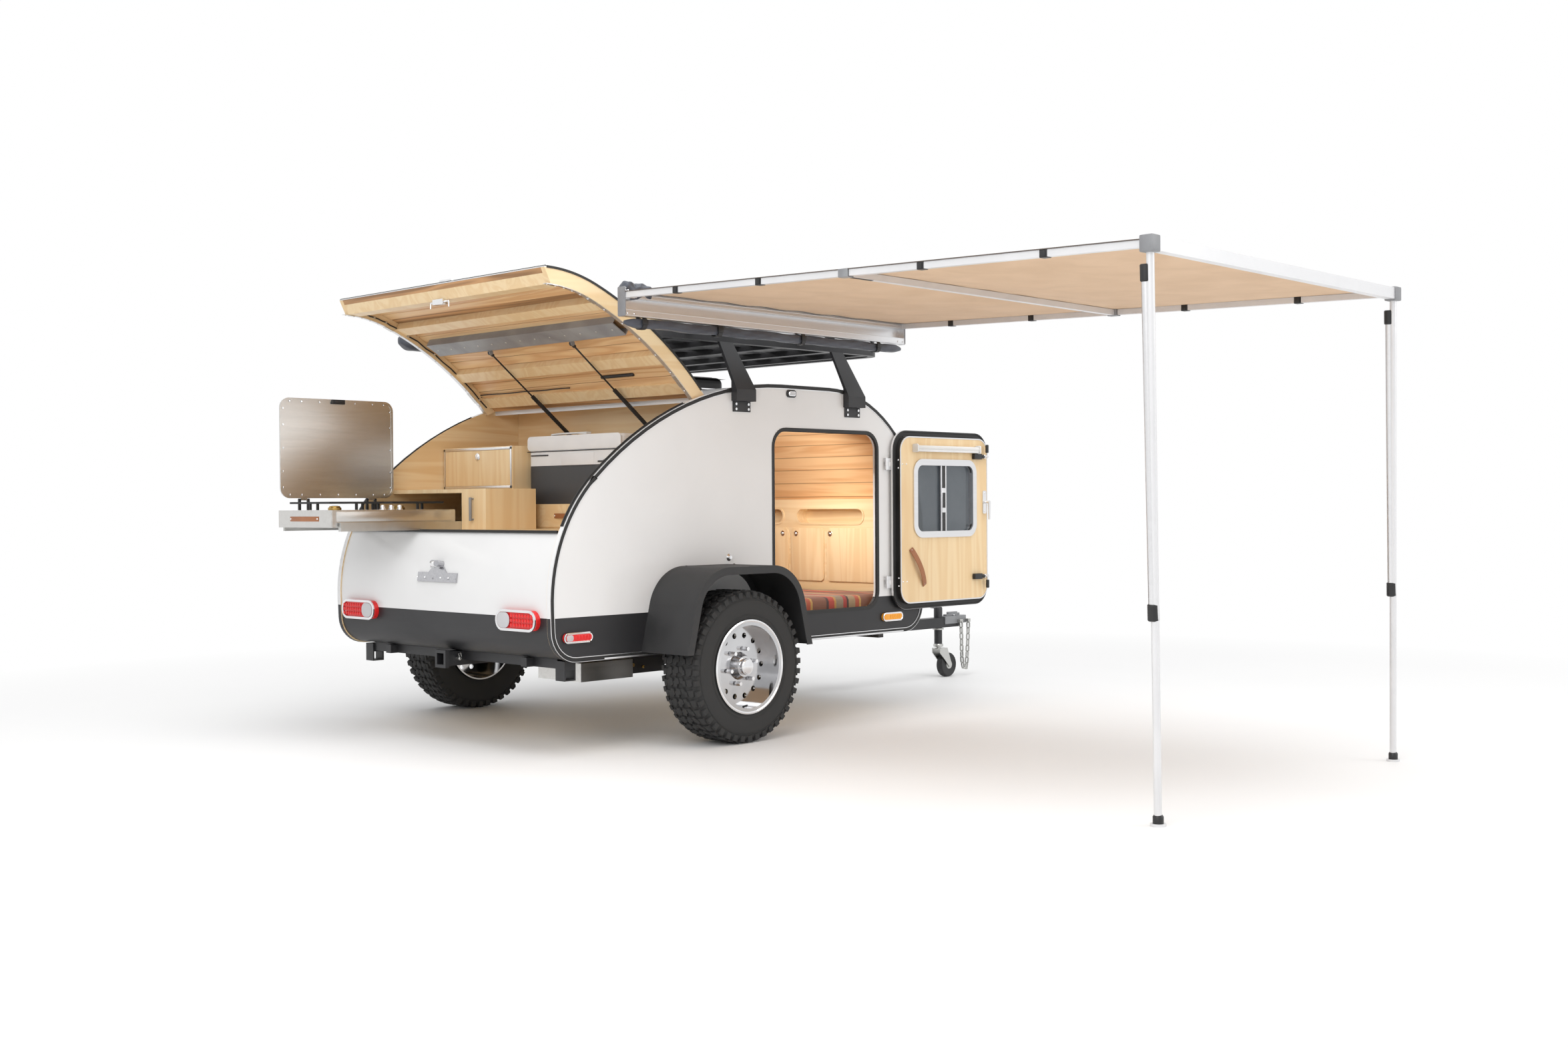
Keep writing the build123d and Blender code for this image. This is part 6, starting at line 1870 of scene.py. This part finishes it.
    def bags(self) -> None:
        """Fold the awning's own bag under its case, the bundle at its end and the stowed bag."""
        line = [(-604 + 18.2 * k, -962.0, 1822.0 - 1.5 * math.sin(k * 0.37)) for k in range(101)]
        self.crumpled("awning_soft_bag", line, 43.0, 45.0, "awning_bag", 0.2, 0.4)
        bundle = [(-612 + 8.0 * k, -962.0 + 3 * math.sin(k), 1956.0 + 6 * math.sin(k * 0.6))
                  for k in range(20)]
        self.crumpled("awning_cover_bundle", bundle, 70.0, 78.0, None, 0.42, 1.9)
        line = [(-438 + 16.0 * k, 960.0, 1897.0 - 2.0 * math.sin(k * 0.21)) for k in range(100)]
        self.crumpled("stowed_soft_bag", line, 109.0, 102.0, "stowed_bag", 0.12, 2.7)
        straps = Piece("bag_straps", "trailer", BLACK_SATIN)
        for x in (-505, -60, 480, 1020):
            route = [Vector((x, y, z)) for y, z in rounded(-987, -937, 1797, 1848, 16, 5)]
            straps.sweep(route, bar(12, 1.3), side=(1, 0, 0), closed=True)
            straps.block((x - 16, -992, 1816), (x + 16, -984, 1838), 2.5)
        for x in (-200, 360, 920):
            route = [Vector((x, y, z)) for y, z in rounded(903, 1017, 1844, 1952, 38, 6)]
            straps.sweep(route, bar(16, 1.3), side=(1, 0, 0), closed=True)
        straps.done(50)

    def build(self) -> None:
        """Build everything over the roof."""
        self.rack()
        self.vent()
        self.case()
        self.arms()
        self.canvas()
        self.bags()


def inflate(made: bpy.types.Object, voxel: float, limit: float, pressure: float = 4.0) -> None:
    """Puff a closed mesh up with cloth pressure and keep the result.

    Args:
        made: the object, changed in place.
        voxel: edge length of the remeshed skin in metres.
        limit: how far a point may move, in metres.
        pressure: the cloth's pressure.
    """
    scene = bpy.context.scene
    remesh = made.modifiers.new("skin", "REMESH")
    remesh.mode = "VOXEL"
    remesh.voxel_size = voxel
    shown = made.evaluated_get(bpy.context.evaluated_depsgraph_get())
    skin = bpy.data.meshes.new_from_object(shown)
    made.modifiers.clear()
    skin.materials.clear()
    for material in made.data.materials:
        skin.materials.append(material)
    made.data = skin
    start = [vert.co.copy() for vert in skin.vertices]
    cloth = made.modifiers.new("puff", "CLOTH")
    cloth.settings.use_pressure = True
    cloth.settings.uniform_pressure_force = pressure
    cloth.settings.effector_weights.gravity = 0.0
    cloth.settings.quality = 3
    cloth.point_cache.frame_start = 1
    cloth.point_cache.frame_end = 20
    for frame in range(1, 21):
        scene.frame_set(frame)
    shown = made.evaluated_get(bpy.context.evaluated_depsgraph_get())
    puffed = bpy.data.meshes.new_from_object(shown)
    made.modifiers.clear()
    scene.frame_set(1)
    for vert, origin in zip(puffed.vertices, start):
        move = vert.co - origin
        if move.length > limit:
            vert.co = origin + move.normalized() * limit
    made.data = puffed
    made.data.polygons.foreach_set("use_smooth", [True] * len(made.data.polygons))


@dataclass
class Cabin:
    """Mattress, blanket and the front cabinet's doors.

    Args:
        bed: the mattress's x and y limits.
        top: the mattress's top.
    """

    bed: tuple[float, float, float, float] = (204.0, 1419.0, -779.7, 779.7)
    top: float = 600.0

    def mattress(self) -> None:
        """Puff up the mattress."""
        x0, x1, y0, y1 = self.bed
        pad = Piece("mattress_pad", "trailer", TICKING)
        pad.block((x0 + 12, y0 + 12, 441), (x1 - 12, y1 - 12, self.top - 24), 34.0)
        made = pad.done(80, ride=False)
        inflate(made, 0.016, 0.012)
        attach(made, "trailer")
        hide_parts("mattress")

    def blanket(self) -> None:
        """Lay the striped blanket over the mattress, hanging a little at both doors."""
        x0, x1, y0, y1 = self.bed
        rows = []
        drop = 62.0
        half = -y0 - 10.0
        runs = 96
        for a in range(61):
            x = x0 + 14 + (x1 - x0 - 28) * a / 60
            row = []
            for b in range(runs + 1):
                reach = (b / runs * 2 - 1) * (half + drop)
                side = math.copysign(1.0, reach)
                fold = 2.4 * math.sin(x * 0.031 + 2.0 * math.sin(reach * 0.006))
                fold += 1.6 * math.sin(reach * 0.021 + x * 0.011)
                over = abs(reach) - (half - 22)
                if over <= 0:
                    y, z = reach, self.top - 7.5 + fold * 0.7
                elif over < 34.5:
                    turn = over / 22.0
                    y = side * (half - 22 + 22 * math.sin(turn))
                    z = self.top - 7.5 - 22 * (1 - math.cos(turn)) + fold * 0.5
                else:
                    y, z = side * (half + 0.8 * math.sin(x * 0.05)), self.top - 29.5 - (over - 34.5)
                row.append((x, y, z))
            rows.append(row)
        cover = Piece("blanket_cover", "trailer", BLANKET)
        cover.grid(rows, -3.0)
        made = cover.done(70)

    def cabinet(self) -> None:
        """Add doors, edges and latches to the front cabinet."""
        x = 1424.6
        doors = Piece("front_cabinet_doors", "trailer", PLY_UPRIGHT)
        for y0, y1 in ((-770, -270), (-258, -4), (4, 258), (270, 770)):
            doors.prism(rounded(y0 + 6, y1 - 6, 640, 925, 22), "yz", x - 7.0, x - 0.4, 1.5)
        doors.use(CHROME)
        for y in (-300, -50, 50, 300):
            doors.lathe([(0, 0), (15, 0), (15, 2), (11, 4), (0, 4)], (x - 7, y, 895), (-1, 0, 0), 24)
            doors.lathe([(0, 0), (5, 0), (6, 8), (0, 9)], (x - 11, y, 895), (-1, 0, 0), 16)
        doors.use(PLY_ACROSS)
        for y in (-290, 290):
            route = [Vector((x - 1.0, a, b)) for a, b in rounded(y - 240, y + 240, 948, 1032, 40, 8)]
            doors.sweep(route, [(-2.2, -5.0), (1.8, -4.0), (1.8, 4.0), (-2.2, 5.0)], side=(1, 0, 0),
                        closed=True)
        doors.done()

    def build(self) -> None:
        """Build the cabin's pieces."""
        self.mattress()
        self.blanket()
        self.cabinet()


@dataclass
class Lamps:
    """Bezels, light dots and lenses of the lamps, and the plate holder's details.

    Args:
        tail_y: distance of the tail lamps from the centre line.
        tail_z: their height.
    """

    tail_y: float = 607.0
    tail_z: float = 571.0

    def tail(self, side: str) -> None:
        """Ring one tail lamp in steel, part its lens and set its dots."""
        sign = both(side)
        face = -912.5
        mid = sign * self.tail_y
        ring = Piece(f"tail_lamp_bezel_{side}", "trailer", CHROME)
        route = [Vector((face + 3, y, z)) for y,
                 z in rounded(mid - 131, mid + 131, self.tail_z - 40, self.tail_z + 40, 39.5, 10)]
        ring.sweep(route, [(-3, -5.5), (2.5, -5.5), (4, 0), (2.5, 5.5), (-3, 5.5)], side=(-1, 0, 0),
                   closed=True)
        ring.use(CLEAR)
        inner = rounded(*sorted((mid - sign * 122, mid - sign * 38)), self.tail_z - 33, self.tail_z + 33, 31,
                        8)
        ring.prism(inner, "yz", face - 1.4, face + 2, 1.0)
        ring.done()
        spots = [((face - 0.5, mid + sign * (19.5 * k - 24), self.tail_z + row), (-1, 0, 0))
                 for row in (-20, 0, 20) for k in range(8)]
        Repeats.heads(f"tail_lamp_dots_{side}", "trailer", spots, 7.6, 2.6, RED, 14, 0.55)

    def markers(self, side: str) -> None:
        """Ring the two side markers and add their clear ends."""
        sign = both(side)
        y = sign * 830.4
        for name, x, z, lens in (("rear", -748.0, 500.0, RED), ("front", 1306.0, 479.0, AMBER)):
            made = Piece(f"marker_{name}_{side}_bezel", "trailer", CHROME)
            route = ring_of(x - 74, x + 74, z - 18.5, z + 18.5, 18, y - sign * 1.5)
            made.sweep(route, [(-2.5 * sign, -4), (1.5 * sign, -4), (3 * sign, 0), (1.5 * sign, 4),
                               (-2.5 * sign, 4)], closed=True)
            made.use(CLEAR if name == "rear" else lens)
            made.prism(rounded(x - 66, x - 30, z - 13, z + 13, 10), "xz",
                       *sorted((y - sign * 1, y + sign * 1.8)), 0.7)
            made.use(lens)
            for k in range(5):
                made.prism(rounded(x - 22 + 17 * k, x - 10 + 17 * k, z - 9, z + 9, 4), "xz",
                           *sorted((y - sign * 1, y + sign * 1.6)), 0.7)
            made.done()

    def plate(self) -> None:
        """Add the plate holder's lamp hood and its screws."""
        hood = Piece("plate_lamp_hood", "trailer", CHROME)
        hood.lathe([(0, 0), (13, 0), (15, 6), (15, 24), (12, 30), (0, 32)], (-900, -16, 797), (0, 1, 0), 24)
        hood.use(CLEAR).block((-908, -12, 779), (-892, 12, 784), 1.5)
        hood.done()
        spots = [((-906, y, 737), (-1, 0, 0)) for y in (-120, -60, 60, 120)]
        Repeats.heads("plate_screws", "trailer", spots, 4.5, 2.4, CHROME)

    def build(self) -> None:
        """Build every lamp's pieces."""
        for side in ("right", "left"):
            self.tail(side)
            self.markers(side)
        self.plate()


@dataclass
class Studio:
    """Floor, light and camera.

    Args:
        camera: the camera's place in metres.
        yaw: its heading from x towards y, in degrees.
        pitch: its tilt up.
        roll: its roll.
        lens: focal length over a 36 mm wide picture.
    """

    camera: tuple[float, float, float] = (-8.1113, -6.2231, 0.7112)
    yaw: float = 43.5956
    pitch: float = -0.6476
    roll: float = -0.3632
    lens: float = 37.905
    ground: float = -0.34

    def floor(self) -> None:
        """Lay the pale floor, which keeps the shadows and meets a white background."""
        mesh = bpy.data.meshes.new("floor")
        reach = 60.0
        z = self.ground - 0.0005
        mesh.from_pydata([(-reach, -reach, z), (reach, -reach, z), (reach, reach, z), (-reach, reach, z)],
                         [], [(0, 1, 2, 3)])
        made = bpy.data.materials.new("studio_floor")
        made.use_nodes = True
        nodes = Nodes(made.node_tree)
        shader = made.node_tree.nodes["Principled BSDF"]
        shader.inputs["Roughness"].default_value = 0.6
        grain = nodes.grain(nodes.place(), 40.0, 0.6)
        nodes.put(shader.inputs["Base Color"],
                  nodes.blend(grain["Patch"], (0.93, 0.93, 0.93), (0.91, 0.91, 0.91)))
        reach_out = nodes.add("ShaderNodeVectorMath", {0: nodes.place(), 1: (-2.3, -0.9, 0.0)},
                              operation="DISTANCE")
        far = nodes.fit(reach_out.outputs["Value"], 0.0, 1.0, 2.2, 6.0)
        glow = nodes.add("ShaderNodeEmission", {"Color": (1.0, 1.0, 1.0, 1.0), "Strength": 1.0})
        mixed = nodes.add("ShaderNodeMixShader",
                          {0: nodes.math("MULTIPLY", far, nodes.backdrop()), 1: shader.outputs[0],
                                                  2: glow.outputs[0]})
        nodes.put(made.node_tree.nodes["Material Output"].inputs["Surface"], mixed.outputs[0])
        mesh.materials.append(made)
        placed("studio_floor", mesh)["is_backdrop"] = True

    def light(self) -> None:
        """Light the trailer softly from above and the camera's side."""
        world = bpy.data.worlds.new("studio")
        bpy.context.scene.world = world
        world.use_nodes = True
        nodes = Nodes(world.node_tree)
        back = world.node_tree.nodes["Background"]
        nodes.put(back.inputs["Strength"], nodes.merge(nodes.backdrop(), 0.62, 1.0))
        back.inputs["Color"].default_value = (1.0, 1.0, 1.0, 1.0)
        for name, spot, aim, size, power in (("cabin_fill", (-2.1, -0.45, 0.9), (-1.7, 0.0, 0.2), 0.5, 7.0),
                                             ("overhead", (-3.5, -2.5, 7.0), (-2.6, -0.6, 0.5), 6.0, 330.0),
                                             ("camera_side", (-8.5, -4.0, 4.0), (-3.0, -0.5, 0.6), 4.0,
                                              170.0),
                                             ("kerb_side", (0.5, -8.0, 3.5), (-2.0, -0.8, 0.6), 4.0, 120.0)):
            lamp = bpy.data.lights.new(name, "AREA")
            lamp.energy = power
            lamp.size = size
            made = placed(name, lamp)
            made.location = spot
            made.rotation_euler = (Vector(aim) - Vector(spot)).to_track_quat("-Z", "Y").to_euler()

    def shoot(self) -> None:
        """Stand the camera where the photograph was taken."""
        yaw, pitch, roll = (math.radians(angle) for angle in (self.yaw, self.pitch, self.roll))
        forward = Vector((math.cos(yaw) * math.cos(pitch), math.sin(yaw) * math.cos(pitch), math.sin(pitch)))
        right = Vector((math.sin(yaw), -math.cos(yaw), 0.0))
        up = right.cross(forward)
        across = right * math.cos(roll) + up * math.sin(roll)
        above = up * math.cos(roll) - right * math.sin(roll)
        data = bpy.data.cameras.new("photo_camera")
        data.lens = self.lens
        data.sensor_width = 36.0
        data.clip_end = 200.0
        made = placed("photo_camera", data)
        turn = Matrix((across, above, -forward)).transposed()
        made.matrix_world = Matrix.Translation(Vector(self.camera)) @ turn.to_4x4()
        bpy.context.scene.camera = made
        bpy.context.scene.view_settings.view_transform = "Standard"


CAD_FINISHES: dict[str, Finish] = {
    "roof_and_nose": ROOF, "rear_skin": REAR, "floor_deck": PLY, "bulkhead": PLY_ACROSS,
    "galley_counter": PLY_ACROSS,
    "galley_cabinet": PLY_UPRIGHT, "cooler_drawer": PLY_ACROSS, "cooler": COOL, "stove": STOVE,
    "stove_runners": ZINC,
    "stove_lid": STAINLESS_UP, "front_cabinet": PLY_ACROSS, "mattress": TICKING, "hatch_sheet": HATCH_SKIN,
    "hatch_lining": LINING, "hatch_frame": PLY, "hatch_channel": GREY_PAINT, "door_right": DOOR_RIGHT,
    "door_left": DOOR_LEFT, "chassis": POWDER, "coupler": GREY_PAINT, "safety_chain": ZINC, "axle": POWDER,
    "jack_tube": POWDER, "caster_fork": ZINC, "caster_wheel": BLACK_SATIN, "roof_rack": POWDER,
    "stowed_bag": PVC,
    "awning_case": ALUMINIUM, "awning_bag": PVC, "awning_frame": WHITE_TUBE, "awning_canvas": CANVAS,
    "roof_vent": BLACK_SATIN, "plate_bracket": PLATE, "under_floor_box": STAINLESS, "valve_box": POWDER,
}
PAIR_FINISHES: dict[str, Finish] = {
    "side_wall": WALL, "strut_barrel": POWDER, "strut_rod": POWDER, "window_frame": ALUMINIUM,
    "window_pane": GLASS,
    "rim": RIM, "tyre": TYRE, "mudguard": MOULDED, "tail_lamp": RED, "side_marker_rear": RED,
    "side_marker_front": AMBER,
}


def dress_nodes(nodes: dict[str, bpy.types.Object]) -> None:
    """Give every carried-over CAD node its finish.

    Args:
        nodes: the node objects by name.
    """
    for name, made in nodes.items():
        finish = CAD_FINISHES.get(name) or PAIR_FINISHES[name.rpartition("_")[0]]
        material = finish.material()
        if made.material_slots:
            for slot in made.material_slots:
                slot.material = material
        else:
            made.data.materials.append(material)
        LOG.info("%s dressed in %s", name, material.name)


def as_lists(box: Iterable[Point]) -> list[list[float]]:
    """Turn a box's corners into plain lists."""
    return [[round(float(part), 5) for part in corner] for corner in box]


def main() -> list[list[float]]:
    """Build the trailer's finishes and details in order and return the CAD model's box."""
    logging.basicConfig(level=logging.INFO, format="%(message)s")
    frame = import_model()
    cad_box = as_lists(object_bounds())
    dress_nodes(frame["nodes"])
    for part in (BodyShell(), Galley(), Hatch(), Doors(), RunningGear(), RoofGear(), Cabin(), Lamps()):
        LOG.info("building %s", type(part).__name__)
        part.build()
    studio = Studio()
    studio.floor()
    studio.light()
    studio.shoot()
    return cad_box


if __name__ == "__main__":
    CAD_BOX = main()
